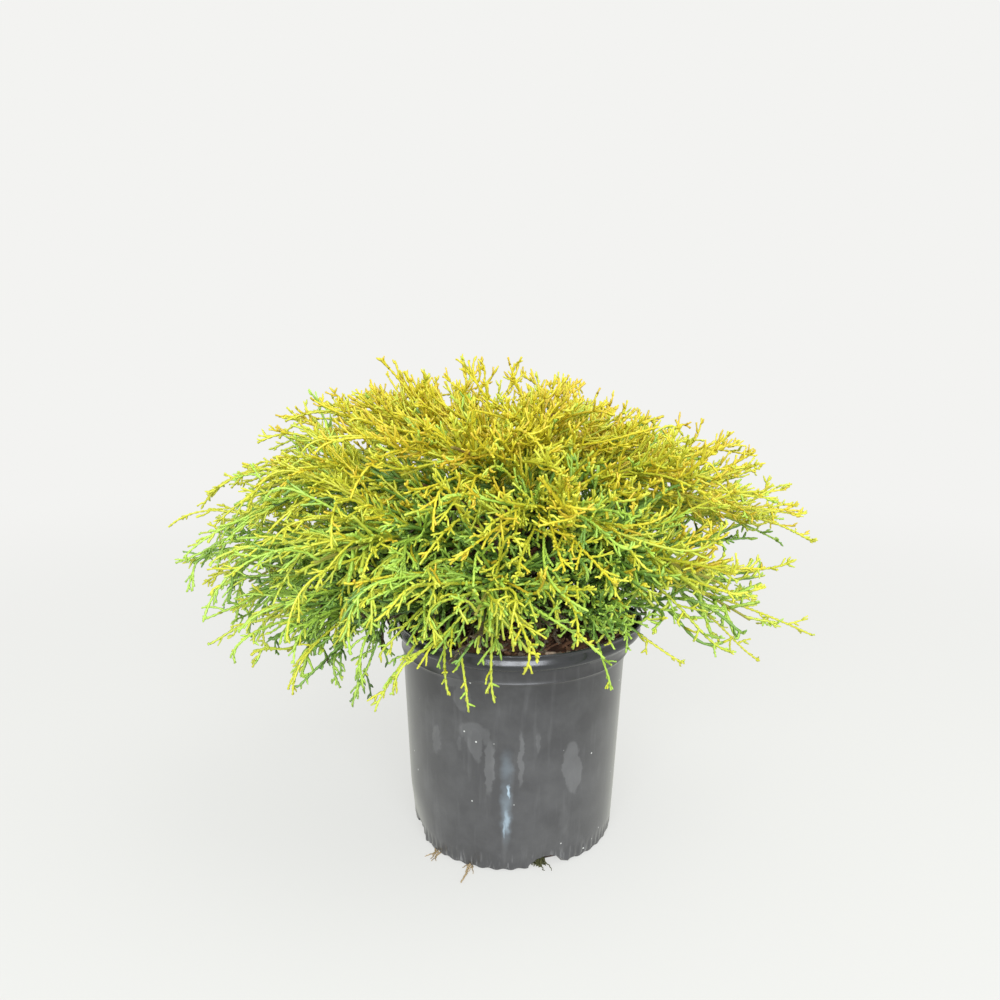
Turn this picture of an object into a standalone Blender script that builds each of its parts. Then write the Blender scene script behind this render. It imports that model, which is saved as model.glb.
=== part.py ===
"""A threadleaf sawara cypress, a low golden mop of weeping cord-like sprays, in its black nursery pot.

The origin is the middle of the pot's flat underside, +Z is up, and -Y is the side that faces the viewer.
"""

import math
import random

import bmesh
import bpy
import numpy as np

# The pot, a thin-walled nursery container
POT_HEIGHT = 0.162
POT_LIP_RADIUS = 0.0846
POT_BODY_TOP_RADIUS = 0.0808
POT_BASE_RADIUS = 0.0746
POT_WALL = 0.0016
POT_FLOOR = 0.0022
POT_SEGMENTS = 40
LIP_BAND = 0.0105
LIP_STEP = 0.0018
COLLAR_BAND = 0.0105
RIDGE = 0.0008
BASE_ROUND = 0.003
# The lip was pulled out of round on one side, and the wall dips in above each drain notch
LIP_PULL = 0.0085
LIP_PULL_AZIMUTH = math.radians(-8)
LIP_PULL_SPREAD = math.radians(26)
LIP_PULL_DEPTH = 0.030
NOTCH_COUNT = 4
NOTCH_FIRST_AZIMUTH = math.radians(-70)
NOTCH_SPREAD = math.radians(21)
NOTCH_HEIGHT = 0.0075
NOTCH_REACH = 0.012
DIP_DEPTH = 0.0035
DIP_HEIGHT = 0.040
DIP_SPREAD = math.radians(17)

# The root ball of bark mix, and the stem that stands on it
SEAT_GAP = 0.0003
SOIL_BELOW_LIP = 0.0075
SOIL_MOUND = 0.005
TRUNK_TOP = 0.236
TRUNK_RADIUS = 0.0058
TRUNK_TIP_RADIUS = 0.0026
ROOT_FLARE = 0.0040
ROOT_FLARE_HEIGHT = 0.010
TRUNK_FOOT = np.array((0.004, 0.005))
TRUNK_LEAN = np.array((-0.010, -0.006))
TRUNK_SIDES = 12

# The crown is a mop. Its plan is a ball of unit size, stretched from the crown's heart to its reach
CROWN_HEART = np.array((0.0, 0.0, 0.200))
REACH_RIGHT, REACH_LEFT = 0.217, 0.240
REACH_BACK, REACH_FRONT = 0.190, 0.168
REACH_UP, REACH_DOWN = 0.147, 0.120
SKIRT_LEFT, SKIRT_RIGHT, SKIRT_FRONT, SKIRT_BACK = -0.62, -0.44, -0.12, -0.45
# Swells and hollows of the outline: where they lie on the plan, how much, and how widely
LOBES = (
    (np.array((-0.62, 0.0, 0.78)), 0.10, 0.45),
    (np.array((0.50, -0.1, 0.86)), -0.09, 0.40),
    (np.array((0.90, 0.0, 0.40)), 0.05, 0.40),
    (np.array((0.2, 0.9, 0.38)), 0.05, 0.50),
)

# Every mass of foliage hangs on one bough. Most boughs leave the trunk in a spiral that fills the outline,
# and a collar of short ones below them fills the space above the pot
SPIRAL_COUNT = 20
COLLAR_COUNT = 5
MASS_COUNT = SPIRAL_COUNT + COLLAR_COUNT
COLLAR_REACH = 0.56
COLLAR_PLAN_HEIGHT = -0.20
COLLAR_FIRST_AZIMUTH = math.radians(-122)
COLLAR_BOUGH_HEIGHT = 0.1665
GOLDEN_ANGLE = math.radians(137.508)
FIRST_AZIMUTH = math.radians(211)
FIRST_BOUGH_HEIGHT = 0.172
LAUNCH_LIFT = math.radians(30)
FLATTEST, STEEPEST = math.radians(40), math.radians(86)
LIMB_BOW = 0.50
STEM_SHARE = 0.82
BOUGH_SHARE = 0.32
BOUGH_RADIUS, BOUGH_TIP_RADIUS = 0.0023, 0.0015
BOUGH_SIDES, BOUGH_STEPS = 5, 4
STEM_RADIUS, STEM_TIP_RADIUS = 0.0022, 0.0014
STEM_SIDES, STEM_STEPS = 5, 4
# The masses are dense inside: their stems swell into a core that the sprays stand out of
DOME_CORE_RADIUS, SKIRT_CORE_RADIUS = 0.028, 0.018
CORE_FULLNESS = 0.8

# A mass is a broom of whips, each a toothed blade: a slim rib whose teeth stand for the side shoots
WHIP_COUNT, COLLAR_WHIP_COUNT = 6, 4
WHIP_SPREAD = math.radians(25)
WHIP_STEPS = 4
WHIP_BOW = 0.42
WHIP_LIFT = 0.16
RIB_HALF_WIDTH, RIB_TIP_HALF_WIDTH = 0.0017, 0.0010
RIB_THICKNESS, RIB_TIP_THICKNESS = 0.0026, 0.0014
LEAVES_LAST, LEAVES_FIRST = 0.80, 0.12
TURN_INS = (0.0, 0.25, 0.5, 0.7)
TOOTH_SHARE = 0.33
TOOTH_FIRST_SIZE, TOOTH_LAST_SIZE = 1.05, 0.55
TOOTH_LEAST, TOOTH_MOST = 0.7, 1.1
TOOTH_ANGLE = math.radians(40)
TOOTH_SAG = 0.14
ROLL = math.radians(40)
TIP_RAGGED = 0.08
FORWARD_SHARE = 0.5
FIRST_TESTED = 2
SPACE_MARGIN = 0.0036
LIMB_MARGIN = 0.0030
POT_MARGIN = 0.0035
TEST_SPACING = 0.004
SEED = 12

# Long single shoots that stand out of the outline, each by its tip
LONG_SHOOTS = {
    "tall": (-0.098, 0.000, 0.346),
    "far_left": (-0.246, 0.000, 0.225),
    "far_right": (0.221, 0.000, 0.147),
    "right_shoulder": (0.205, 0.010, 0.238),
    "right_low": (0.181, 0.000, 0.128),
    "front_over_lip": (-0.027, -0.108, 0.135),
    "front_left": (-0.083, -0.120, 0.140),
    "left_low": (-0.139, -0.100, 0.140),
    "right_front": (0.112, -0.070, 0.152),
    "right_front_low": (0.082, -0.092, 0.143),
}


# Small helpers

UP = np.array((0.0, 0.0, 1.0))
ALMOST_UP = np.array((0.03, 0.0, 1.0))


def clear_scene():
    for obj in list(bpy.data.objects):
        bpy.data.objects.remove(obj, do_unlink=True)


def material(name, colour, roughness, metallic=0.0):
    made = bpy.data.materials.new(name)
    made.use_nodes = True
    shader = made.node_tree.nodes["Principled BSDF"]
    shader.inputs["Base Color"].default_value = (*colour, 1.0)
    shader.inputs["Roughness"].default_value = roughness
    shader.inputs["Metallic"].default_value = metallic
    made.diffuse_color = (*colour, 1.0)
    return made


def add_object(name, bm, finish, parent=None, collection=None):
    mesh = bpy.data.meshes.new(name)
    bmesh.ops.recalc_face_normals(bm, faces=bm.faces)
    bm.to_mesh(mesh)
    bm.free()
    mesh.materials.append(finish)
    obj = bpy.data.objects.new(name, mesh)
    (collection or bpy.context.scene.collection).objects.link(obj)
    obj.parent = parent
    return obj


def unit(vector):
    return vector / np.linalg.norm(vector)


def mix(a, b, share):
    return a + (b - a) * share


def smooth_step(share):
    share = min(1.0, max(0.0, share))
    return share * share * (3 - 2 * share)


def heading(azimuth, elevation):
    """The unit vector at this azimuth about +Z, from +X, and this elevation."""
    flat = math.cos(elevation)
    return np.array((flat * math.cos(azimuth), flat * math.sin(azimuth), math.sin(elevation)))


def angle_between(a, b):
    """The signed angle from b to a, within half a turn either way."""
    return (a - b + math.pi) % (2 * math.pi) - math.pi


def bowed(start, leave, end, steps, bow):
    """Points on a limb that leaves start along leave and bows over to end."""
    control = start + leave * np.linalg.norm(end - start) * bow
    share = np.linspace(0, 1, steps + 1)[:, None]
    return (1 - share) ** 2 * start + 2 * share * (1 - share) * control + share**2 * end


def tube(path, radii, sides, level=False):
    """A closed tapering limb along path, as rings bridged from foot to tip, square to it or level."""
    bm = bmesh.new()
    tangents = np.gradient(path, axis=0)
    if level:
        tangents[:] = (0.0, 0.0, 1.0)
    guide = np.array((0.0, 0.0, 1.0))
    if abs(unit(tangents[0])[2]) > 0.9:
        guide = np.array((1.0, 0.0, 0.0))
    side = unit(np.cross(tangents[0], guide))
    rings = []
    for point, tangent, radius in zip(path, tangents, radii):
        along = unit(tangent)
        side = unit(side - along * np.dot(side, along))
        other = np.cross(along, side)
        ring = []
        for k in range(sides):
            turn = 2 * math.pi * k / sides
            ring.append(bm.verts.new(point + radius * (math.cos(turn) * side + math.sin(turn) * other)))
        rings.append(ring)
    for low, high in zip(rings, rings[1:]):
        for k in range(sides):
            following = (k + 1) % sides
            bm.faces.new((low[k], low[following], high[following], high[k]))
    bm.faces.new(rings[0][::-1])
    bm.faces.new(rings[-1])
    bmesh.ops.triangulate(bm, faces=bm.faces)
    return bm


# The pot and its root ball


def pot_shift(azimuth, height):
    """How far the wall stands out at this place: the lip's pulled side, less the dips above the notches."""
    off = angle_between(azimuth, LIP_PULL_AZIMUTH) / LIP_PULL_SPREAD
    near_lip = smooth_step((height - (POT_HEIGHT - LIP_PULL_DEPTH)) / LIP_PULL_DEPTH)
    out = LIP_PULL * math.exp(-off * off) * near_lip
    low = smooth_step(1 - height / DIP_HEIGHT)
    for notch in range(NOTCH_COUNT):
        centre = NOTCH_FIRST_AZIMUTH + 2 * math.pi * notch / NOTCH_COUNT
        off = angle_between(azimuth, centre) / DIP_SPREAD
        out -= DIP_DEPTH * math.exp(-off * off) * low
    return out


def turned(profile, segments):
    """A round solid from a (radius, height) profile whose ends lie on the axis, with the pot's shifts."""
    bm = bmesh.new()
    rings = []
    for radius, height in profile[1:-1]:
        ring = []
        for k in range(segments):
            azimuth = 2 * math.pi * k / segments
            reach = radius + pot_shift(azimuth, height) * min(1.0, radius / POT_BASE_RADIUS)
            ring.append(bm.verts.new((reach * math.cos(azimuth), reach * math.sin(azimuth), height)))
        rings.append(ring)
    for first, second in zip(rings, rings[1:]):
        for k in range(segments):
            following = (k + 1) % segments
            bm.faces.new((first[k], first[following], second[following], second[k]))
    for ring, (_, height) in ((rings[0], profile[0]), (rings[-1], profile[-1])):
        pole = bm.verts.new((0, 0, height))
        for k in range(segments):
            bm.faces.new((ring[k], ring[(k + 1) % segments], pole))
    bmesh.ops.triangulate(bm, faces=bm.faces)
    return bm


def wall_radius(height):
    """The outer radius of the plain wall at this height."""
    return mix(POT_BASE_RADIUS, POT_BODY_TOP_RADIUS, height / (POT_HEIGHT - LIP_BAND - COLLAR_BAND))


def pot_outline():
    """From the middle of the underside, out and up to the lip, and down the inner wall to the floor."""
    collar_top = POT_HEIGHT - LIP_BAND
    collar_foot = collar_top - COLLAR_BAND
    collar_radius = POT_LIP_RADIUS - LIP_STEP
    inner_top = POT_LIP_RADIUS - POT_WALL - RIDGE
    return [
        (0.0, 0.0),
        (POT_BASE_RADIUS - 2 * NOTCH_REACH, 0.0),
        (POT_BASE_RADIUS - BASE_ROUND, 0.0),
        (POT_BASE_RADIUS - BASE_ROUND * 0.3, BASE_ROUND * 0.3),
        (POT_BASE_RADIUS, BASE_ROUND),
        (wall_radius(DIP_HEIGHT * 0.5), DIP_HEIGHT * 0.5),
        (wall_radius(DIP_HEIGHT), DIP_HEIGHT),
        (wall_radius(0.09), 0.09),
        (POT_BODY_TOP_RADIUS, collar_foot - RIDGE),
        (collar_radius, collar_foot + RIDGE),
        (collar_radius - RIDGE, collar_foot + 3 * RIDGE),
        (collar_radius - RIDGE, collar_top - RIDGE),
        (POT_LIP_RADIUS, collar_top + RIDGE),
        (POT_LIP_RADIUS, POT_HEIGHT - RIDGE),
        (POT_LIP_RADIUS - RIDGE, POT_HEIGHT),
        (inner_top, POT_HEIGHT),
        (inner_top - RIDGE, POT_HEIGHT - LIP_BAND),
        (POT_BODY_TOP_RADIUS - POT_WALL, collar_foot),
        (wall_radius(0.09) - POT_WALL, 0.09),
        (wall_radius(DIP_HEIGHT) - POT_WALL, DIP_HEIGHT),
        (wall_radius(DIP_HEIGHT * 0.5) - POT_WALL, DIP_HEIGHT * 0.5),
        (POT_BASE_RADIUS - POT_WALL, POT_FLOOR + POT_WALL),
        (POT_BASE_RADIUS - 2 * POT_WALL, POT_FLOOR),
        (0.0, POT_FLOOR),
    ]


def notch_cutter(azimuth, finish):
    """An arched wedge that opens the corner between the floor and the wall."""
    bm = bmesh.new()
    near, far = POT_BASE_RADIUS - NOTCH_REACH, POT_BASE_RADIUS + NOTCH_REACH
    arch = [(-0.5, -0.4), (-0.5, 0.45), (-0.32, 0.9), (0.0, 1.0), (0.32, 0.9), (0.5, 0.45), (0.5, -0.4)]
    loops = []
    for radius in (near, far):
        loop = []
        for across, up in arch:
            turn = azimuth + across * NOTCH_SPREAD
            loop.append(bm.verts.new((radius * math.cos(turn), radius * math.sin(turn), up * NOTCH_HEIGHT)))
        loops.append(loop)
    for k in range(len(arch)):
        following = (k + 1) % len(arch)
        bm.faces.new((loops[0][k], loops[0][following], loops[1][following], loops[1][k]))
    bm.faces.new(loops[0][::-1])
    bm.faces.new(loops[1])
    bmesh.ops.triangulate(bm, faces=bm.faces)
    return bm


def make_pot(finish, parent):
    pot = add_object("pot", turned(pot_outline(), POT_SEGMENTS), finish, parent)
    for notch in range(NOTCH_COUNT):
        azimuth = NOTCH_FIRST_AZIMUTH + 2 * math.pi * notch / NOTCH_COUNT
        cutter = add_object(f"notch_cutter_{notch + 1}", notch_cutter(azimuth, finish), finish, parent)
        cutter.hide_render = True
        cutter.display_type = "WIRE"
        cut = pot.modifiers.new(f"drain_notch_{notch + 1}", "BOOLEAN")
        cut.operation = "DIFFERENCE"
        cut.solver = "MANIFOLD"
        cut.object = cutter
    return pot


def soil_height(radius):
    """The bark mix lies a little higher round the stem than at the wall."""
    return POT_HEIGHT - SOIL_BELOW_LIP + SOIL_MOUND * (1 - (radius / POT_BODY_TOP_RADIUS) ** 2)


def make_root_ball(finish, parent):
    inset = POT_WALL + SEAT_GAP * 1.5
    foot = POT_FLOOR + SEAT_GAP
    edge = POT_HEIGHT - SOIL_BELOW_LIP
    outline = [
        (0.0, foot),
        (POT_BASE_RADIUS - NOTCH_REACH, foot),
        (POT_BASE_RADIUS - POT_WALL - inset, foot),
        (POT_BASE_RADIUS - inset, POT_FLOOR + inset),
        (wall_radius(DIP_HEIGHT * 0.5) - inset, DIP_HEIGHT * 0.5),
        (wall_radius(DIP_HEIGHT) - inset, DIP_HEIGHT),
        (wall_radius(0.09) - inset, 0.09),
        (POT_BODY_TOP_RADIUS - inset, POT_HEIGHT - LIP_BAND - COLLAR_BAND),
        (POT_BODY_TOP_RADIUS - inset, edge),
        (0.045, soil_height(0.045)),
        (0.020, soil_height(0.0)),
        (0.0, soil_height(0.0)),
    ]
    return add_object("root_ball", turned(outline, POT_SEGMENTS // 2), finish, parent)


# The crown's plan, shared by the limbs and the foliage


def crown_point(plan, share=1.0):
    """The place at this share of the crown's reach, for a unit direction of its plan."""
    swell = 1.0
    for centre, amount, width in LOBES:
        apart = np.linalg.norm(plan - unit(centre)) / width
        swell += amount * math.exp(-apart * apart)
    across = REACH_RIGHT if plan[0] > 0 else REACH_LEFT
    deep = REACH_BACK if plan[1] > 0 else REACH_FRONT
    tall = REACH_UP if plan[2] > 0 else REACH_DOWN
    return CROWN_HEART + plan * np.array((across, deep, tall)) * swell * share


def skirt_height(azimuth):
    """How low the foliage hangs on the plan's ball: least in front, where the pot's lip shows."""
    across = SKIRT_RIGHT if math.cos(azimuth) > 0 else SKIRT_LEFT
    deep = SKIRT_BACK if math.sin(azimuth) > 0 else SKIRT_FRONT
    return mix(across, deep, math.sin(azimuth) ** 2)


def trunk_point(height):
    share = (height - soil_height(0)) / (TRUNK_TOP - soil_height(0))
    x, y = TRUNK_FOOT + TRUNK_LEAN * share
    return np.array((x, y, height))


def trunk_radius(height):
    share = (height - soil_height(0)) / (TRUNK_TOP - soil_height(0))
    flare = ROOT_FLARE * max(0.0, 1 - (height - soil_height(0)) / ROOT_FLARE_HEIGHT) ** 2
    return mix(TRUNK_RADIUS, TRUNK_TIP_RADIUS, share) + flare


def mass_plan(number):
    """The direction of a mass on the plan: in the spiral from the skirt to the top, or in the collar."""
    if number >= SPIRAL_COUNT:
        azimuth = COLLAR_FIRST_AZIMUTH + (number - SPIRAL_COUNT) * 2 * math.pi / COLLAR_COUNT
        return heading(azimuth, math.asin(COLLAR_PLAN_HEIGHT))
    azimuth = FIRST_AZIMUTH + number * GOLDEN_ANGLE
    height = mix(skirt_height(azimuth), 1.0, (number + 0.4) / SPIRAL_COUNT)
    return heading(azimuth, math.asin(height))


def mass_reach(number):
    """The share of the crown's reach that a mass fills."""
    return COLLAR_REACH if number >= SPIRAL_COUNT else 1.0


def bough_height(number):
    """Where a bough leaves the trunk."""
    if number >= SPIRAL_COUNT:
        return COLLAR_BOUGH_HEIGHT
    return mix(FIRST_BOUGH_HEIGHT, TRUNK_TOP - TRUNK_TIP_RADIUS, number / SPIRAL_COUNT)


def limb_path(number, steps):
    """A bough and the stem it carries, as one bow from the trunk to near the crown's outline."""
    plan, height = mass_plan(number), bough_height(number)
    azimuth = math.atan2(plan[1], plan[0])
    leave = heading(azimuth, min(STEEPEST, max(FLATTEST, math.asin(plan[2]) + LAUNCH_LIFT)))
    off_axis = trunk_radius(height) + BOUGH_RADIUS * leave[2] + SEAT_GAP
    start = trunk_point(height) + heading(azimuth, 0.0) * off_axis
    end = crown_point(plan, STEM_SHARE * mass_reach(number))
    return bowed(start, leave, end, steps, LIMB_BOW)


LIMB_STEPS = 20
LIMB_PATHS = [limb_path(number, LIMB_STEPS) for number in range(MASS_COUNT)]
BOUGH_END = round(LIMB_STEPS * BOUGH_SHARE)


def bough_line(number):
    """The bough's own part of its limb path, lifted off the trunk so that its foot clears it."""
    return LIMB_PATHS[number][: BOUGH_END + 1]


def stem_line(number):
    """The stem's part of the limb path, starting just clear of the bough's tip."""
    path = LIMB_PATHS[number][BOUGH_END:].copy()
    path[0] += unit(path[1] - path[0]) * SEAT_GAP
    return path


def resampled(path, steps):
    """The same line in fewer steps of even share."""
    at = np.linspace(0, len(path) - 1, steps + 1)
    return np.stack([np.interp(at, np.arange(len(path)), path[:, k]) for k in range(3)], 1)


def sampled(path):
    """Points on a line no further apart than the test spacing."""
    length = np.linalg.norm(np.diff(path, axis=0), axis=1).max()
    return resampled(path, (len(path) - 1) * math.ceil(length / TEST_SPACING))


def distances(points, path):
    """The distance from each point to a polyline."""
    start, step = path[:-1], np.diff(path, axis=0)
    offset = points[:, None, :] - start[None]
    share = np.clip((offset * step).sum(2) / (step * step).sum(1), 0, 1)
    return np.linalg.norm(offset - share[..., None] * step, axis=2).min(1)


def in_own_space(number, points):
    """Which points lie nearer to this mass's stem than to any other's, clear of the limbs and the pot."""
    own = distances(points, stem_line(number))
    free = np.ones(len(points), bool)
    for other in range(MASS_COUNT):
        if other != number:
            free &= own + SPACE_MARGIN < distances(points, stem_line(other))
        free &= distances(points, bough_line(other)) > BOUGH_RADIUS + LIMB_MARGIN
    trunk = np.array([trunk_point(soil_height(0)), trunk_point(TRUNK_TOP)])
    free &= distances(points, trunk) > TRUNK_RADIUS + LIMB_MARGIN
    beside = np.hypot(points[:, 0], points[:, 1]) > POT_LIP_RADIUS + LIP_PULL + POT_MARGIN
    above = points[:, 2] > POT_HEIGHT + POT_MARGIN
    return free & (beside | above)


# The foliage


def whip_headings(number):
    """Plan directions spread over the mass's share of the outline, each with its angle off the middle."""
    centre = mass_plan(number)
    side = unit(np.cross(centre, ALMOST_UP))
    up = np.cross(side, centre)
    count = COLLAR_WHIP_COUNT if number >= SPIRAL_COUNT else WHIP_COUNT
    for k in range(count):
        apart = WHIP_SPREAD * math.sqrt((k + 0.5) / count)
        turn = k * GOLDEN_ANGLE + number
        yield apart, unit(centre + math.tan(apart) * (math.cos(turn) * side + math.sin(turn) * up))


def whips(number, draw):
    """Where each whip of a mass ends, and the share of the stem that it leaves from."""
    for tip in LONG_SHOOTS.values():
        tip = np.array(tip)
        nearest = min(range(MASS_COUNT), key=lambda other: distances(tip[None], stem_line(other))[0])
        if nearest == number:
            yield tip, 0.5 * (LEAVES_FIRST + LEAVES_LAST)
    for apart, plan in whip_headings(number):
        leaves_at = mix(LEAVES_LAST, LEAVES_FIRST, apart / WHIP_SPREAD)
        yield crown_point(plan, mass_reach(number) * (1 - TIP_RAGGED * draw.random())), leaves_at


def whip_rib(stem, leaves_at, tip):
    """A whip's rib: it leaves the stem forwards, rises a little and bows over to its tip."""
    at = leaves_at * (len(stem) - 1)
    k = min(int(at), len(stem) - 2)
    start = mix(stem[k], stem[k + 1], at - k)
    forward = unit(stem[k + 1] - stem[k])
    leave = unit(mix(unit(tip - start), forward, FORWARD_SHARE) + WHIP_LIFT * UP)
    return resampled(bowed(start, leave, tip, LIMB_STEPS, WHIP_BOW), WHIP_STEPS)


def rib_in_space(number, leaves_at, tip):
    """The whip's rib, turned in towards the stem as far as it has to be, or None where that isn't enough."""
    stem = stem_line(number)
    for turn_in in TURN_INS:
        rib = whip_rib(stem, leaves_at, mix(tip, stem[-1], turn_in))
        if in_own_space(number, sampled(rib)[FIRST_TESTED:]).all():
            return rib
    return None


def blade_frame(rib, draw):
    """The blade's tangent, its direction across and its normal, for each point of the rib."""
    tangents = np.gradient(rib, axis=0)
    tangents /= np.linalg.norm(tangents, axis=1)[:, None]
    chord = rib[-1] - rib[0]
    level = unit(np.cross(chord, ALMOST_UP))
    roll = draw.uniform(-ROLL, ROLL)
    level = math.cos(roll) * level + math.sin(roll) * unit(np.cross(level, chord))
    across = level[None] - tangents * (tangents @ level)[:, None]
    across /= np.linalg.norm(across, axis=1)[:, None]
    return tangents, across, np.cross(tangents, across)


def rib_corners(point, across, normal, share):
    """The four corners of the rib's cross-section at this share of its length."""
    wide = across * mix(RIB_HALF_WIDTH, RIB_TIP_HALF_WIDTH, share)
    high = normal * mix(RIB_THICKNESS, RIB_TIP_THICKNESS, share) / 2
    return point + wide + high, point + wide - high, point - wide - high, point - wide + high


def close_to_point(bm, ring, tip):
    """Draws a ring of vertices out to a point."""
    point = bm.verts.new(tip)
    for k in range(len(ring)):
        bm.faces.new((ring[k], ring[(k + 1) % len(ring)], point))


def tooth_size(length, share, draw):
    size = mix(TOOTH_FIRST_SIZE, TOOTH_LAST_SIZE, share)
    return length * TOOTH_SHARE * size * draw.uniform(TOOTH_LEAST, TOOTH_MOST)


def blade(number, rib, draw):
    """A closed toothed blade along the rib; a tooth that would leave the mass's space is skipped."""
    tangents, across, normals = blade_frame(rib, draw)
    length = np.linalg.norm(np.diff(rib, axis=0), axis=1).sum()
    bm = bmesh.new()
    rings = []
    for k in range(WHIP_STEPS):
        corners = rib_corners(rib[k], across[k], normals[k], k / WHIP_STEPS)
        rings.append([bm.verts.new(corner) for corner in corners])
    for k, (low, high) in enumerate(zip(rings, rings[1:])):
        bm.faces.new((low[3], low[0], high[0], high[3]))
        bm.faces.new((low[1], low[2], high[2], high[1]))
        for sign, (top, bottom) in ((1, (0, 1)), (-1, (3, 2))):
            edge = (low[top], low[bottom], high[bottom], high[top])
            foot = mix(rib[k], rib[k + 1], 0.5)
            out = math.cos(TOOTH_ANGLE) * tangents[k] + sign * math.sin(TOOTH_ANGLE) * across[k]
            tip = foot + (out - TOOTH_SAG * UP) * tooth_size(length, k / WHIP_STEPS, draw)
            lines = [sampled(np.array((start, tip)))[1:] for start in (rib[k], foot, rib[k + 1])]
            if in_own_space(number, np.concatenate(lines)).all():
                close_to_point(bm, edge, tip)
            else:
                bm.faces.new(edge)
    close_to_point(bm, rings[-1], rib[-1])
    bm.faces.new(rings[0])
    bmesh.ops.triangulate(bm, faces=bm.faces)
    return bm


def make_sprays(number, draw, finish, collection):
    """The whips of a mass, each one a closed blade."""
    for tip, leaves_at in whips(number, draw):
        rib = rib_in_space(number, leaves_at, tip)
        if rib is not None:
            name = f"whip_{number + 1:02d}_{len(collection.objects) + 1}"
            add_object(name, blade(number, rib, draw), finish, None, collection)


def room_about(number, point):
    """How far a mass may swell at this point before it meets the space of another mass or a limb."""
    others = [k for k in range(MASS_COUNT) if k != number]
    to_stems = min(distances(point[None], stem_line(other))[0] for other in others)
    to_boughs = min(distances(point[None], bough_line(other))[0] for other in others)
    return min(to_stems / 2 - SPACE_MARGIN / 2, to_boughs - BOUGH_RADIUS - LIMB_MARGIN)


def stem_radii(number):
    """The stem's taper, with the swell of the mass's core as far as its space has room."""
    stem = resampled(stem_line(number), STEM_STEPS)
    fullness = smooth_step(0.5 + mass_plan(number)[2])
    core = mix(SKIRT_CORE_RADIUS, DOME_CORE_RADIUS, fullness)
    radii = np.linspace(STEM_RADIUS, STEM_TIP_RADIUS, STEM_STEPS + 1)
    for k in range(1, STEM_STEPS):
        swell = core * math.sin(math.pi * k / STEM_STEPS) ** CORE_FULLNESS
        radii[k] += max(0.0, min(swell, room_about(number, stem[k]) - STEM_RADIUS))
    return radii


def largest_body(mesh):
    """Drops every loose scrap but the largest body of a joined mesh."""
    bm = bmesh.new()
    bm.from_mesh(mesh)
    left, bodies = set(bm.faces), []
    while left:
        grown, body = [left.pop()], []
        while grown:
            face = grown.pop()
            body.append(face)
            for edge in face.edges:
                for neighbour in edge.link_faces:
                    if neighbour in left:
                        left.discard(neighbour)
                        grown.append(neighbour)
        bodies.append(body)
    bodies.sort(key=len)
    for body in bodies[:-1]:
        bmesh.ops.delete(bm, geom=body, context="FACES")
    bmesh.ops.triangulate(bm, faces=bm.faces)
    bm.to_mesh(mesh)
    bm.free()


def make_mass(number, finish, parent):
    """A mass of foliage: its stem and the sprays that grow from it, joined into one body."""
    draw = random.Random(SEED * 1000 + number)
    stem = tube(resampled(stem_line(number), STEM_STEPS), stem_radii(number), STEM_SIDES)
    mass = add_object(f"foliage_{number + 1:02d}", stem, finish, parent)
    sprays = bpy.data.collections.new(f"sprays_{number + 1:02d}")
    bpy.context.scene.collection.children.link(sprays)
    make_sprays(number, draw, finish, sprays)
    join = mass.modifiers.new("join_sprays", "BOOLEAN")
    join.operation = "UNION"
    join.operand_type = "COLLECTION"
    join.collection = sprays
    join.solver = "MANIFOLD"
    joined = bpy.data.meshes.new_from_object(mass.evaluated_get(bpy.context.evaluated_depsgraph_get()))
    mass.modifiers.clear()
    mass.data = joined
    for obj in list(sprays.objects):
        bpy.data.objects.remove(obj, do_unlink=True)
    bpy.data.collections.remove(sprays)
    largest_body(mass.data)
    return mass


# The limbs


def make_trunk(finish, parent):
    foot = soil_height(0) + SEAT_GAP
    heights = [foot, foot + ROOT_FLARE_HEIGHT * 0.4, foot + ROOT_FLARE_HEIGHT]
    heights += list(np.linspace(foot + 2 * ROOT_FLARE_HEIGHT, TRUNK_TOP, 4))
    path = np.array([trunk_point(height) for height in heights])
    radii = [trunk_radius(height) for height in heights]
    return add_object("trunk", tube(path, radii, TRUNK_SIDES, level=True), finish, parent)


def make_bough(number, finish, parent):
    path = resampled(bough_line(number), BOUGH_STEPS)
    radii = np.linspace(BOUGH_RADIUS, BOUGH_TIP_RADIUS, BOUGH_STEPS + 1)
    return add_object(f"bough_{number + 1:02d}", tube(path, radii, BOUGH_SIDES), finish, parent)


def main():
    clear_scene()
    plant = bpy.data.objects.new("potted_cypress", None)
    bpy.context.scene.collection.objects.link(plant)
    plastic = material("black_polyethylene", (0.030, 0.031, 0.033), 0.42)
    mix_of_bark = material("bark_mix", (0.095, 0.055, 0.035), 0.95)
    bark = material("cypress_bark", (0.160, 0.080, 0.045), 0.85)
    needles = material("threadleaf_foliage", (0.420, 0.460, 0.045), 0.60)
    make_pot(plastic, plant)
    make_root_ball(mix_of_bark, plant)
    make_trunk(bark, plant)
    for number in range(MASS_COUNT):
        make_bough(number, bark, plant)
        make_mass(number, needles, plant)


main()
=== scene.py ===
"""The looks of a threadleaf sawara cypress in its nursery pot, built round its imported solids.

The origin is the middle of the pot's flat underside, +Z is up, and -Y is the side that faces the viewer.
"""

import math

import bmesh
import bpy
import numpy as np
from mathutils import Matrix, Vector


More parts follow.
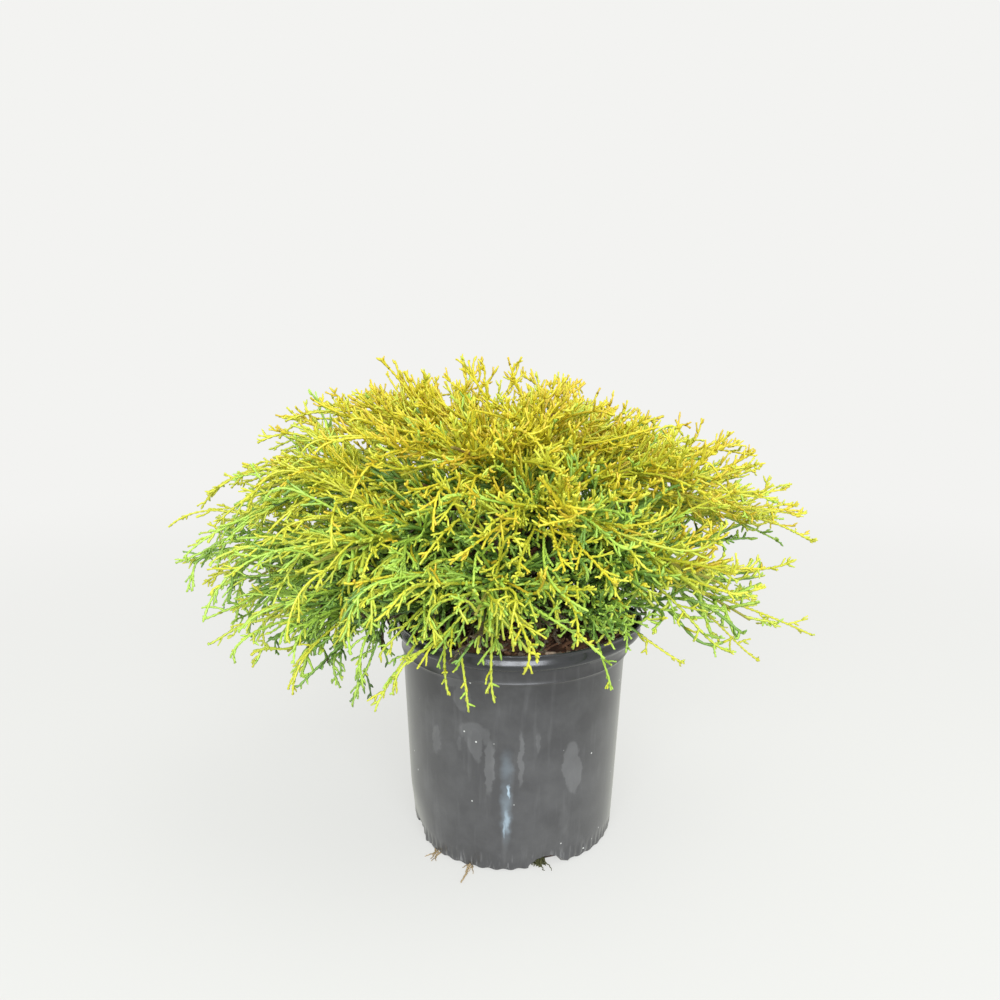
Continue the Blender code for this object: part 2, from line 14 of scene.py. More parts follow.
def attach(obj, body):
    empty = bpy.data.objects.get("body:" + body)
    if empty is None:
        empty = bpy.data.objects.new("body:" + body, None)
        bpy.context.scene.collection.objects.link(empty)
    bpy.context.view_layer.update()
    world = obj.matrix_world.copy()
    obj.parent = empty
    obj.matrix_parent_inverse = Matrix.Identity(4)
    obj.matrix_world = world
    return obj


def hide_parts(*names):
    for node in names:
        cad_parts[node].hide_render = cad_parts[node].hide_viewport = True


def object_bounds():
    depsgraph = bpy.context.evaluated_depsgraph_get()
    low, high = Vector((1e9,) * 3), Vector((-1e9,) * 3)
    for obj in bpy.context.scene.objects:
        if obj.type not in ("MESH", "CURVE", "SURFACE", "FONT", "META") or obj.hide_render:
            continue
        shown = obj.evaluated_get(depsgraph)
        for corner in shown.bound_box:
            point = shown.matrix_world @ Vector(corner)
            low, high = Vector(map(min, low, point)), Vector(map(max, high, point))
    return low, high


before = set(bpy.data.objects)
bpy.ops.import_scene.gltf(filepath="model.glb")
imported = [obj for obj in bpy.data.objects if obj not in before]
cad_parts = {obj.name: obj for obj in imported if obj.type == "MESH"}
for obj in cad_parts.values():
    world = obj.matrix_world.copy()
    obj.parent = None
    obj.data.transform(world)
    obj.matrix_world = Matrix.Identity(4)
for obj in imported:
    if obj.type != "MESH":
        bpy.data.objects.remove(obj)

cad_box = [list(corner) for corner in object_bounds()]


# The nursery pot. It is a thin can of black polyethylene, moulded in one piece: a rolled lip and a bead
# stiffen its mouth, and the fluted foot has four arched notches that let the water out. It was pulled out of
# round on one side, and it stands on the flat ring under its foot.

POT_HEIGHT = 0.162
LIP_RADIUS = 0.0846
WALL_TOP_RADIUS, WALL_TOP_HEIGHT = 0.0808, 0.141
BASE_RADIUS, BASE_ROUND = 0.0746, 0.003
POT_WALL, POT_FLOOR = 0.0016, 0.0022
STAND_RING, STAND_STEP, STAND_RECESS = (0.0535, 0.0706), 0.0015, 0.001
# From the wall's top, as (radius, height): the thin ridge under the collar, the collar, the bead, the hollow
# band and the rolled lip, and down inside it
RIM_LINE = [
    (0.0807, 0.1396), (0.0813, 0.1402), (0.0818, 0.1409), (0.0816, 0.1416), (0.0812, 0.1423),
    (0.0811, 0.1450), (0.0813, 0.1480), (0.0817, 0.1502), (0.0828, 0.1508), (0.0841, 0.1516),
    (0.0846, 0.1528), (0.0846, 0.1539), (0.0843, 0.1550), (0.0838, 0.1560), (0.0832, 0.1573),
    (0.0826, 0.1585), (0.0825, 0.1595), (0.0833, 0.1601), (0.0843, 0.1604), (0.0846, 0.1610),
    (0.0844, 0.1616), (0.0839, 0.1620), (0.0833, 0.1618), (0.0829, 0.1608), (0.0825, 0.1575),
    (0.0818, 0.1520), (0.0806, 0.1470),
]
FLUTE_COUNT, FLUTE_DEPTH, FLUTE_HEIGHT = 88, 0.0010, 0.0135
SCALLOP_COUNT, SCALLOP_LIFT = 44, 0.0012
# The heights of the wall's rings outside, as (first, end, step), close together over the flutes, and inside
FLUTED_RINGS, PLAIN_RINGS = (0.0042, FLUTE_HEIGHT + 0.002, 0.0012), (0.018, 0.1385, 0.005)
INNER_RINGS, CORNER_RING, CORNER_ROUND = (0.12, 0.09, 0.06, 0.04, 0.02, 0.008), 0.0042, 0.0003
POT_SPIN_STEPS = 352
LIP_PULL, LIP_PULL_DEPTH = 0.0085, 0.030
LIP_PULL_AZIMUTH, LIP_PULL_SPREAD = math.radians(-8), math.radians(26)
NOTCH_AZIMUTHS = [math.radians(-70 + 90 * k) for k in range(4)]
NOTCH_SPREAD, NOTCH_HEIGHT, NOTCH_DEPTH, NOTCH_STEPS = math.radians(21), 0.0085, 0.012, 15
DIP_DEPTH, DIP_HEIGHT, DIP_SPREAD = 0.0035, 0.040, math.radians(17)
NUB_TURN, NUB_SPREAD, NUB_PROUD = math.radians(13), math.radians(4), 0.0012
POT_CREASE = math.radians(50)
# Less than any step in the profile
TOLERANCE, DOUBLES = 1e-5, 1e-6


def wall_radius(height):
    """The outer radius of the plain wall at this height."""
    return BASE_RADIUS + (WALL_TOP_RADIUS - BASE_RADIUS) * height / WALL_TOP_HEIGHT


def pot_profile():
    """The pot's cut face: out along the underside, up the outside, over the lip and down inside."""
    inner, outer = STAND_RING
    line = [(0, STAND_RECESS), (inner - STAND_STEP, STAND_RECESS), (inner, 0), (outer, 0)]
    for turn in np.radians(np.arange(15, 91, 15)):
        reach = BASE_RADIUS - BASE_ROUND + BASE_ROUND * math.sin(turn)
        line.append((reach, BASE_ROUND * (1 - math.cos(turn))))
    heights = list(np.arange(*FLUTED_RINGS)) + list(np.arange(*PLAIN_RINGS))
    line += [(wall_radius(height), height) for height in heights]
    line += RIM_LINE
    line.append((WALL_TOP_RADIUS - POT_WALL, WALL_TOP_HEIGHT))
    line += [(wall_radius(height) - POT_WALL, height) for height in INNER_RINGS]
    line.append((BASE_RADIUS - POT_WALL - CORNER_ROUND, CORNER_RING))
    return line + [(BASE_RADIUS - 2 * POT_WALL, POT_FLOOR), (0, POT_FLOOR)]


def spun(profile, steps):
    """A bmesh of a profile of (radius, height) spun once round the vertical axis."""
    bm = bmesh.new()
    row = [bm.verts.new((radius, 0, height)) for radius, height in profile]
    for first, second in zip(row, row[1:]):
        bm.edges.new((first, second))
    bmesh.ops.spin(
        bm, geom=bm.verts[:] + bm.edges[:], cent=(0, 0, 0), axis=(0, 0, 1), dvec=(0, 0, 0),
        angle=2 * math.pi, steps=steps, use_merge=True, use_duplicate=False,
    )
    bmesh.ops.remove_doubles(bm, verts=bm.verts, dist=DOUBLES)
    bmesh.ops.recalc_face_normals(bm, faces=bm.faces)
    return bm


def fade(share):
    """A smooth step from 0 to 1."""
    share = np.clip(share, 0, 1)
    return share * share * (3 - 2 * share)


def hump(azimuth, centre, spread):
    """A smooth swell round an azimuth."""
    off = (azimuth - centre + math.pi) % (2 * math.pi) - math.pi
    return np.exp(-((off / spread) ** 2))


def pot_shift(azimuth, height):
    """How far the wall stands out of round: the lip's pulled side, less the dips above the notches."""
    near_lip = fade((height - POT_HEIGHT + LIP_PULL_DEPTH) / LIP_PULL_DEPTH)
    out = LIP_PULL * hump(azimuth, LIP_PULL_AZIMUTH, LIP_PULL_SPREAD) * near_lip
    for notch in NOTCH_AZIMUTHS:
        out = out - DIP_DEPTH * hump(azimuth, notch, DIP_SPREAD) * fade(1 - height / DIP_HEIGHT)
    return out


def corners_of(mesh):
    """The mesh's vertices as an array."""
    flat = np.empty(len(mesh.vertices) * 3, np.float32)
    mesh.vertices.foreach_get("co", flat)
    return flat.reshape(-1, 3).astype(float)


def set_corners(mesh, corners):
    """Moves the mesh's vertices."""
    mesh.vertices.foreach_set("co", corners.astype(np.float32).ravel())
    mesh.update()


def add_piece(name, geometry):
    """Puts a bmesh or a mesh in the scene as a smooth-shaded piece."""
    mesh = geometry
    if isinstance(geometry, bmesh.types.BMesh):
        mesh = bpy.data.meshes.new(name)
        geometry.to_mesh(mesh)
        geometry.free()
    mesh.shade_smooth()
    piece = bpy.data.objects.new(name, mesh)
    bpy.context.scene.collection.objects.link(piece)
    return piece


def place(piece, finishes, nodes):
    """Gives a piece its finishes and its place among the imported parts."""
    piece.data.materials.clear()
    for material in finishes:
        piece.data.materials.append(material)
    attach(piece, "root")
    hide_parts(*nodes)


def linear(hex_colour):
    """An sRGB hex colour as linear RGBA."""
    parts = [int(hex_colour[k : k + 2], 16) / 255 for k in (1, 3, 5)]
    return (*[c / 12.92 if c <= 0.04045 else ((c + 0.055) / 1.055) ** 2.4 for c in parts], 1.0)


def add_node(tree, kind, settings, links=None):
    """Adds a shader node with its settings, by property or socket, and links its sockets to what feeds them:
    a socket, or the first output of a node."""
    node = tree.nodes.new("ShaderNode" + kind)
    for name, value in settings.items():
        if isinstance(name, str) and hasattr(node, name):
            setattr(node, name, value)
        else:
            node.inputs[name].default_value = value
    for name, source in (links or {}).items():
        tree.links.new(source.outputs[0] if hasattr(source, "outputs") else source, node.inputs[name])
    return node


def new_finish(name, settings):
    """A new material, its node tree and its shader, with the shader's plain settings."""
    material = bpy.data.materials.new(name)
    material.use_nodes = True
    shader = material.node_tree.nodes["Principled BSDF"]
    for socket, value in settings.items():
        shader.inputs[socket].default_value = value
    return material, material.node_tree, shader


def shape_pot():
    """Spins the pot, then pulls it out of round and presses in its flutes, scallops and nubs."""
    pot = add_piece("nursery_pot", spun(pot_profile(), POT_SPIN_STEPS))
    at = corners_of(pot.data)
    radius, azimuth, height = np.hypot(at[:, 0], at[:, 1]), np.arctan2(at[:, 1], at[:, 0]), at[:, 2]
    outside = (radius > STAND_RING[1] - TOLERANCE) & (radius > wall_radius(height) - POT_WALL * 0.4)
    low = fade(1 - height / FLUTE_HEIGHT) * outside
    reach = radius + pot_shift(azimuth, height) * np.minimum(1, radius / BASE_RADIUS)
    reach -= FLUTE_DEPTH * (0.5 - 0.5 * np.cos(FLUTE_COUNT * azimuth)) * np.sqrt(low)
    for notch in NOTCH_AZIMUTHS:
        reach += NUB_PROUD * hump(azimuth, notch + NUB_TURN, NUB_SPREAD) * low
    foot = fade(1 - height / (2 * BASE_ROUND)) * (radius > STAND_RING[1] + TOLERANCE)
    height = height + SCALLOP_LIFT * (0.5 - 0.5 * np.cos(SCALLOP_COUNT * azimuth)) * foot
    set_corners(pot.data, np.stack([reach * np.cos(azimuth), reach * np.sin(azimuth), height], 1))
    return pot


def cut_notch(pot, azimuth):
    """Cuts one arched notch through the corner of wall and floor."""
    bm = bmesh.new()
    arch = [(-0.5, -0.4), (0.5, -0.4)]
    arch += [(0.5 * math.cos(turn), math.sin(turn)) for turn in np.linspace(0, math.pi, NOTCH_STEPS)]
    near, far = BASE_RADIUS - NOTCH_DEPTH, BASE_RADIUS + NOTCH_DEPTH
    loop = []
    for across, up in arch:
        turn = azimuth + across * NOTCH_SPREAD
        loop.append(bm.verts.new((near * math.cos(turn), near * math.sin(turn), up * NOTCH_HEIGHT)))
    drawn_out = bmesh.ops.extrude_face_region(bm, geom=[bm.faces.new(loop)])
    for part in drawn_out["geom"]:
        if isinstance(part, bmesh.types.BMVert):
            part.co.x *= far / near
            part.co.y *= far / near
    bmesh.ops.recalc_face_normals(bm, faces=bm.faces)
    cutter = add_piece("notch_cutter", bm)
    cut = pot.modifiers.new("notch", "BOOLEAN")
    cut.operation, cut.solver, cut.object = "DIFFERENCE", "EXACT", cutter
    shaped = bpy.data.meshes.new_from_object(pot.evaluated_get(bpy.context.evaluated_depsgraph_get()))
    pot.modifiers.clear()
    pot.data = shaped
    bpy.data.objects.remove(cutter, do_unlink=True)


# Dried water marks on the wall, each a soft oval: its middle (x, z) and half sizes on the front in metres,
# its strength, and how soft its edge is
WATER_MARKS = [
    ((0.0395, 0.0785), (0.0062, 0.0180), 0.50, 0.2),
    ((0.0418, 0.0700), (0.0062, 0.0160), 0.50, 0.2),
    ((-0.0360, 0.0945), (0.0020, 0.0070), 0.25, 0.5),
    ((-0.0293, 0.1010), (0.0036, 0.0085), 0.30, 0.5),
    ((-0.0240, 0.0925), (0.0048, 0.0120), 0.42, 0.3),
    ((-0.0173, 0.1020), (0.0036, 0.0075), 0.34, 0.5),
    ((-0.0153, 0.0800), (0.0036, 0.0240), 0.52, 0.3),
    ((0.0057, 0.0870), (0.0020, 0.0240), 0.50, 0.4),
    ((-0.0520, 0.0910), (0.0036, 0.0130), 0.34, 0.3),
    ((-0.0265, 0.1045), (0.0115, 0.0080), 0.36, 0.3),
    ((-0.0250, 0.0970), (0.0060, 0.0135), 0.44, 0.3),
    ((-0.0400, 0.1390), (0.0080, 0.0060), 0.34, 0.3),
    ((-0.0335, 0.1280), (0.0068, 0.0110), 0.38, 0.25),
    ((0.0168, 0.0980), (0.0020, 0.0090), 0.34, 0.4),
    ((0.0360, 0.0360), (0.0050, 0.0150), 0.20, 0.6),
]
# The lime, partly a painted reflection of the window, from the wide faint bloom to the bright runs in it
LIME_AND_REFLECTION_MARKS = [
    ((-0.0034, 0.0800), (0.0062, 0.0180), 0.14, 1.0),
    ((-0.0038, 0.0480), (0.0054, 0.0340), 0.22, 1.0),
    ((-0.0024, 0.0630), (0.0011, 0.0080), 0.80, 0.9),
    ((-0.0034, 0.0405), (0.0032, 0.0150), 0.50, 0.9),
    ((-0.0050, 0.0340), (0.0015, 0.0110), 0.50, 0.9),
]


def oval_mark(tree, place_on, middle, half_sizes, strength, soft):
    """The mask of one oval mark: a ball gradient, flattened so that it is seen along Y."""
    across, up = middle
    wide, high = half_sizes
    oval = add_node(
        tree, "Mapping", {"vector_type": "TEXTURE", "Location": (across, 0, up), "Scale": (wide, 1, high)},
        {"Vector": place_on})
    front = add_node(tree, "Mapping", {"Scale": (1, 0, 1)}, {"Vector": oval})
    ball = add_node(tree, "TexGradient", {"gradient_type": "SPHERICAL"}, {"Vector": front})
    return add_node(
        tree, "MapRange", {"From Max": soft, "To Max": strength, "interpolation_type": "SMOOTHSTEP"},
        {"Value": ball.outputs["Fac"]})


def front_marks(tree, place_on, in_front, marks):
    """The mask of a group of marks on the front, where the strongest one counts."""
    masks = [oval_mark(tree, place_on, *mark) for mark in marks]
    strongest = masks[0]
    for mask in masks[1:]:
        strongest = add_node(tree, "Math", {"operation": "MAXIMUM"}, {0: strongest, 1: mask})
    return add_node(tree, "Math", {"operation": "MULTIPLY"}, {0: strongest, 1: in_front})


def polyethylene():
    """Black polyethylene, moulded and weathered: a satin skin that picks up the room at its edges, a thin
    film of dust, dried drips, a bluish lime streak that is partly a painted reflection of the window, a
    few pale specks, and painted shade that darkens the wall towards the top."""
    # The sheen is the film of dust, seen along the wall
    material, tree, shader = new_finish("black_polyethylene", {
        "IOR": 1.54, "Coat Weight": 0.30, "Coat Roughness": 0.24,
        "Sheen Weight": 0.22, "Sheen Roughness": 0.35, "Sheen Tint": linear("#F0F1DA"),
    })
    place_on = add_node(tree, "TexCoord", {}).outputs["Object"]
    parts = add_node(tree, "SeparateXYZ", {}, {0: place_on})
    up = parts.outputs["Z"]
    # The dust lies in clouds about 30 mm across, and the drips are about 5 mm wide and 45 mm long
    clouds = add_node(
        tree, "TexNoise", {"Scale": 34.0, "Detail": 5.0, "Roughness": 0.6}, {"Vector": place_on})
    stretched = add_node(tree, "Mapping", {"Scale": (1.0, 1.0, 0.12)}, {"Vector": place_on})
    drips = add_node(tree, "TexNoise", {"Scale": 190.0, "Detail": 3.0}, {"Vector": stretched})
    dusty = add_node(
        tree, "MapRange", {"From Min": 0.42, "From Max": 0.72, "To Max": 0.10}, {"Value": clouds})
    dripping = add_node(
        tree, "MapRange", {"From Min": 0.55, "From Max": 0.75, "To Max": 0.07}, {"Value": drips})
    film = add_node(tree, "Math", {"operation": "ADD"}, {0: dusty, 1: dripping})
    # A 6 mm noise breaks up the edges of the water marks and of the lime with its painted reflection
    ragged = add_node(tree, "TexNoise", {"Scale": 160.0, "Detail": 3.0}, {"Vector": place_on})
    centred = add_node(
        tree, "VectorMath", {"operation": "SUBTRACT", 1: (0.5, 0.5, 0.5)}, {0: ragged.outputs["Color"]})
    nudge = add_node(tree, "VectorMath", {"operation": "SCALE", "Scale": 0.006}, {0: centred})
    bent = add_node(tree, "VectorMath", {"operation": "ADD"}, {0: place_on, 1: nudge})
    in_front = add_node(tree, "Math", {"operation": "LESS_THAN", 1: 0.0}, {0: parts.outputs["Y"]})
    marks = front_marks(tree, bent, in_front, WATER_MARKS)
    lime_and_reflection = front_marks(tree, bent, in_front, LIME_AND_REFLECTION_MARKS)
    # Handling has scuffed the foot up to 15 mm: pale upright scratches, a millimetre or two wide
    scratches = add_node(tree, "TexNoise", {"Scale": 430.0, "Detail": 3.0}, {"Vector": stretched})
    scuffs = add_node(
        tree, "MapRange", {"From Min": 0.56, "From Max": 0.74, "To Max": 0.5}, {"Value": scratches})
    low = add_node(tree, "MapRange", {"From Min": 0.0150, "From Max": 0.0060}, {"Value": up})
    film = add_node(tree, "Math", {"operation": "MULTIPLY_ADD"}, {0: scuffs, 1: low, 2: film})
    marked = add_node(
        tree, "Math", {"operation": "MULTIPLY_ADD", 1: 0.30, "use_clamp": True}, {0: marks, 2: film})
    # Specks of perlite and lime, about a millimetre across, at most one to a cell of 14 mm
    cells = add_node(tree, "TexVoronoi", {"Scale": 70.0}, {"Vector": place_on})
    speck = add_node(tree, "MapRange", {"From Min": 0.055, "From Max": 0.03}, {"Value": cells})
    # Towards the top the wall is painted darker, as painted shade under the foliage,
    # and hands have rubbed the bead and the lip clean
    painted_shade = add_node(tree, "MapRange", {"From Min": 0.080, "From Max": 0.130}, {"Value": up})
    rubbed = add_node(tree, "MapRange", {"From Min": 0.1480, "From Max": 0.1512}, {"Value": up})
    colour = add_node(
        tree, "Mix", {"data_type": "RGBA", 6: linear("#3E3E3F"), 7: linear("#2C2C2D")}, {0: painted_shade})
    # The lime's bluish colour is partly a painted reflection of the window
    for share, over in ((marked, "#9C9D9D"), (rubbed, "#1E2023"), (lime_and_reflection, "#B0C6D4"), (speck, "#C9CBC6")):
        colour = add_node(
            tree, "Mix", {"data_type": "RGBA", 7: linear(over)}, {0: share, 6: colour.outputs[2]})
    tree.links.new(colour.outputs[2], shader.inputs["Base Color"])
    rough = add_node(tree, "MapRange", {"To Min": 0.34, "To Max": 0.55}, {"Value": marked})
    smooth = add_node(tree, "Mix", {"data_type": "FLOAT", 3: 0.22}, {0: rubbed, 2: rough})
    tree.links.new(smooth.outputs[0], shader.inputs["Roughness"])
    # The moulded skin's own grain is 0.3 mm, drawn at 0.6 mm, over slow upright waves 20 mm wide
    grain = add_node(tree, "TexNoise", {"Scale": 1600.0, "Detail": 2.0}, {"Vector": place_on})
    waves = add_node(tree, "TexNoise", {"Scale": 50.0, "Detail": 1.0}, {"Vector": stretched})
    fine = add_node(tree, "Bump", {"Strength": 0.10, "Distance": 0.0002}, {"Height": grain})
    wavy = add_node(tree, "Bump", {"Strength": 0.25, "Distance": 0.0010}, {"Height": waves, "Normal": fine})
    tree.links.new(wavy.outputs[0], shader.inputs["Normal"])
    return material


pot = shape_pot()
for notch in NOTCH_AZIMUTHS:
    cut_notch(pot, notch)
pot.data.shade_smooth()
pot.data.set_sharp_from_angle(angle=POT_CREASE)
place(pot, [polyethylene()], ["pot"])


# The root ball. It is composted pine bark that fills the pot to just under the lip, mounded a little round
# the stem, with loose flakes of bark on top, and fine dead roots that have grown out of the drain notches.

SOIL_EDGE_HEIGHT = POT_HEIGHT - 0.0075
SOIL_MOUND = 0.005
SOIL_INSET, SOIL_SLACK = POT_WALL + 0.0006, 0.0004
SOIL_FLOOR, SOIL_CORNER = POT_FLOOR + 0.0006, (BASE_RADIUS - 0.0045, POT_FLOOR + 0.0018)
# The rings of its wall (lowest, highest, count) and of its top (how far in the first one is, count)
SOIL_WALL_RINGS, SOIL_TOP_RINGS = (0.010, 0.135, 26), (0.0012, 44)
SOIL_SPIN_STEPS = 180
SOIL_LUMP_SIZE, SOIL_LUMP = 0.011, 0.0011
FLAKE_COUNT = 620
FLAKE_LONG, FLAKE_WIDE, FLAKE_THICK = (0.005, 0.015), (0.003, 0.007), (0.0010, 0.0024)
FLAKE_SCALES, FLAKE_SCALE_SHARES = (0.45, 0.7, 1.0), (0.45, 0.35, 0.2)
FLAKE_BEVEL, FLAKE_RAGGED, FLAKE_WARP, FLAKE_TILT = 0.12, 0.175, 0.10, 0.30
FLAKES_REACH, FLAKE_SEATS = 0.0735, (-0.0002, 0.0009)
# The loose flakes: each finish with its dark and its light tone, and the share of flakes that has it
FLAKE_FINISHES = [
    ("bark_flake_brown", "#3A281C", "#8E6448"),
    ("bark_flake_red", "#553423", "#B4886A"),
    ("bark_flake_grey", "#4C4036", "#C4AC94"),
]
FLAKE_FINISH_SHARES = (0.5, 0.32, 0.18)
WISP_RINGS, WISP_SIDES, WISP_WIGGLE, WISP_TAPER = 12, 5, 0.00035, 0.45
WISP_STRAY, WISP_FAN, WISP_LENGTHS, WISP_RISES = 0.035, 0.25, (0.4, 1.0), (0.2, 1.0)
# Tufts of dead roots: their azimuth, the way they point, their number, how far they stick out, how thick
FOOT_TUFTS = [
    (math.radians(-136), math.radians(-108), 6, 0.013, 0.0006),
    (math.radians(-113), math.radians(-105), 4, 0.008, 0.0005),
    (math.radians(-112.5), math.radians(-93), 1, 0.022, 0.0011),
    (math.radians(74), math.radians(80), 4, 0.007, 0.0005),
]
NOTCH_TUFTS = [
    (NOTCH_AZIMUTHS[0] - 0.10, NOTCH_AZIMUTHS[0] - 0.10, 2, 0.004, 0.0006),
    (NOTCH_AZIMUTHS[0] - 0.05, NOTCH_AZIMUTHS[0] - 0.10, 44, -0.0076, 0.0008),
    (NOTCH_AZIMUTHS[1], NOTCH_AZIMUTHS[1], 9, 0.000, 0.0006),
    (NOTCH_AZIMUTHS[2], NOTCH_AZIMUTHS[2], 9, 0.000, 0.0006),
]
draw = np.random.default_rng(41)


def soil_height(radius):
    """The bark mix lies a little higher round the stem than at the wall."""
    return SOIL_EDGE_HEIGHT + SOIL_MOUND * (1 - (radius / WALL_TOP_RADIUS) ** 2)


def lumps(at, size, seed):
    """A rough surface made of folded waves about this size, from -1 to 1."""
    turn = np.random.default_rng(seed)
    total = np.zeros(len(at))
    for octave in range(4):
        for _ in range(4):
            heading = turn.normal(size=3)
            wave = heading / np.linalg.norm(heading) * 2 * math.pi * 2**octave / size
            total += (1 - 2 * np.abs(np.sin(at @ wave + turn.uniform(0, 6.28)))) / 2**octave
    return total / 7.5


def shape_root_ball():
    """Spins the ball, then lets it follow the pot and roughens its top."""
    line = [(0, SOIL_FLOOR), (0.062, SOIL_FLOOR), SOIL_CORNER]
    line += [(wall_radius(height) - SOIL_INSET, height) for height in np.linspace(*SOIL_WALL_RINGS)]
    rim = WALL_TOP_RADIUS - SOIL_INSET
    inset, rings = SOIL_TOP_RINGS
    line += [(rim, WALL_TOP_HEIGHT), (rim, 0.147), (rim, SOIL_EDGE_HEIGHT - 0.001)]
    line += [(radius, soil_height(radius)) for radius in np.linspace(rim - inset, 0, rings)]
    ball = add_piece("root_ball_surface", spun(line, SOIL_SPIN_STEPS))
    at = corners_of(ball.data)
    radius, azimuth = np.hypot(at[:, 0], at[:, 1]), np.arctan2(at[:, 1], at[:, 0])
    reach = radius + pot_shift(azimuth, at[:, 2]) * np.minimum(1, radius / BASE_RADIUS) - SOIL_SLACK
    at = np.stack([reach * np.cos(azimuth), reach * np.sin(azimuth), at[:, 2]], 1)
    on_top = at[:, 2] > SOIL_EDGE_HEIGHT - 0.0015
    at[:, 2] += np.where(on_top, lumps(at, SOIL_LUMP_SIZE, 5) * SOIL_LUMP - SOIL_SLACK, 0)
    set_corners(ball.data, at)
    return ball


def bark_slab():
    """One flake of length one: a bevelled slab, cut in three along its length, as corners and triangles."""
    bm = bmesh.new()
    bmesh.ops.create_cube(bm, size=1.0)
    lengthwise = [edge for edge in bm.edges if abs(edge.verts[0].co.x - edge.verts[1].co.x) > 0.5]
    bmesh.ops.subdivide_edges(bm, edges=lengthwise, cuts=2)
    square = [edge for edge in bm.edges if edge.is_manifold and edge.calc_face_angle() > 1.2]
    bmesh.ops.bevel(bm, geom=square, affect="EDGES", offset=FLAKE_BEVEL, segments=1, profile=0.5, material=-1)
    bmesh.ops.triangulate(bm, faces=bm.faces)
    bm.verts.ensure_lookup_table()
    corners = np.array([vert.co for vert in bm.verts])
    faces = np.array([[vert.index for vert in face.verts] for face in bm.faces])
    bm.free()
    return corners, faces


def turn_about(axis, angle):
    """The matrix that turns rows of points about the axis X, Y or Z, given as 0, 1 or 2."""
    second, third = (axis + 1) % 3, (axis + 2) % 3
    matrix = np.eye(3)
    matrix[second, second] = matrix[third, third] = math.cos(angle)
    matrix[second, third], matrix[third, second] = math.sin(angle), -math.sin(angle)
    return matrix


def shape_flakes():
    """Loose bark flakes, warped, turned and scattered over the root ball, and the finish of each triangle."""
    slab, faces = bark_slab()
    corners, all_faces, tones = [], [], []
    for number in range(FLAKE_COUNT):
        size = np.array([draw.uniform(*FLAKE_LONG), draw.uniform(*FLAKE_WIDE), draw.uniform(*FLAKE_THICK)])
        size *= draw.choice(FLAKE_SCALES, p=FLAKE_SCALE_SHARES)
        flake = slab.copy()
        flake[:, :2] *= 1 + FLAKE_RAGGED * draw.normal(size=(len(slab), 1))
        flake = flake * size
        flake[:, 2] += FLAKE_WARP * size[0] * np.sin(flake[:, 0] / size[0] * 3 + draw.uniform(0, 6))
        turn, tilt, lean = draw.uniform(0, 6.28), draw.normal(0, FLAKE_TILT), draw.normal(0, FLAKE_TILT)
        flake = flake @ turn_about(0, tilt) @ turn_about(1, lean) @ turn_about(2, turn)
        reach = FLAKES_REACH * math.sqrt(draw.uniform(0.015, 1))
        azimuth = draw.uniform(-math.pi, math.pi)
        out = reach + float(pot_shift(azimuth, SOIL_EDGE_HEIGHT)) * reach / BASE_RADIUS
        height = soil_height(reach) + draw.uniform(*FLAKE_SEATS)
        corners.append(flake + (out * math.cos(azimuth), out * math.sin(azimuth), height))
        all_faces.append(faces + number * len(slab))
        tones += [int(draw.choice(3, p=FLAKE_FINISH_SHARES))] * len(faces)
    return np.concatenate(corners), np.concatenate(all_faces), tones


def triangle_mesh(name, corners, faces):
    """A mesh from arrays of corners and triangles."""
    mesh = bpy.data.meshes.new(name)
    mesh.vertices.add(len(corners))
    mesh.vertices.foreach_set("co", corners.astype(np.float32).ravel())
    mesh.loops.add(len(faces) * 3)
    mesh.loops.foreach_set("vertex_index", faces.astype(np.int32).ravel())
    mesh.polygons.add(len(faces))
    mesh.polygons.foreach_set("loop_start", np.arange(0, len(faces) * 3, 3, dtype=np.int32))
    mesh.update(calc_edges=True)
    return mesh


def tubes(paths, radii, guides):
    """Closed tapering tubes, all with the same number of rings: paths (tubes, rings, 3), radii (tubes, rings,
    sides) and a guide vector for each that the first side turns towards. Gives corners and triangles."""
    count, rings, sides = radii.shape
    along = np.gradient(paths, axis=1)
    along /= np.linalg.norm(along, axis=2)[..., None] + 1e-12
    across = guides[:, None] - along * (along * guides[:, None]).sum(2)[..., None]
    across /= np.linalg.norm(across, axis=2)[..., None] + 1e-12
    other = np.cross(along, across)
    turns = 2 * np.pi * np.arange(sides) / sides
    spokes = across[:, :, None] * np.cos(turns)[:, None] + other[:, :, None] * np.sin(turns)[:, None]
    walls = (paths[:, :, None] + spokes * radii[..., None]).reshape(count, rings * sides, 3)
    tips = paths[:, -1:] + along[:, -1:] * radii[:, -1].mean(1)[:, None, None] * 0.7
    corners = np.concatenate([walls, tips], 1)
    ring, side = np.meshgrid(np.arange(rings - 1), np.arange(sides), indexing="ij")
    low, low_next = ring * sides + side, ring * sides + (side + 1) % sides
    high, high_next = low + sides, low_next + sides
    wall = np.stack([low, low_next, high_next, low, high_next, high], -1).reshape(-1, 3)
    last = (rings - 1) * sides
    tip = [(last + k, last + (k + 1) % sides, rings * sides) for k in range(sides)]
    foot = [(0, k + 1, k) for k in range(1, sides - 1)]
    pattern = np.concatenate([wall, tip, foot])
    faces = (pattern[None] + (np.arange(count) * (rings * sides + 1))[:, None, None]).reshape(-1, 3)
    return corners.reshape(-1, 3), faces


def joined(name, made):
    """One mesh of many (corners, triangles)."""
    starts = np.cumsum([0] + [len(corners) for corners, _ in made])
    faces = [faces + start for (_, faces), start in zip(made, starts)]
    return triangle_mesh(name, np.concatenate([corners for corners, _ in made]), np.concatenate(faces))


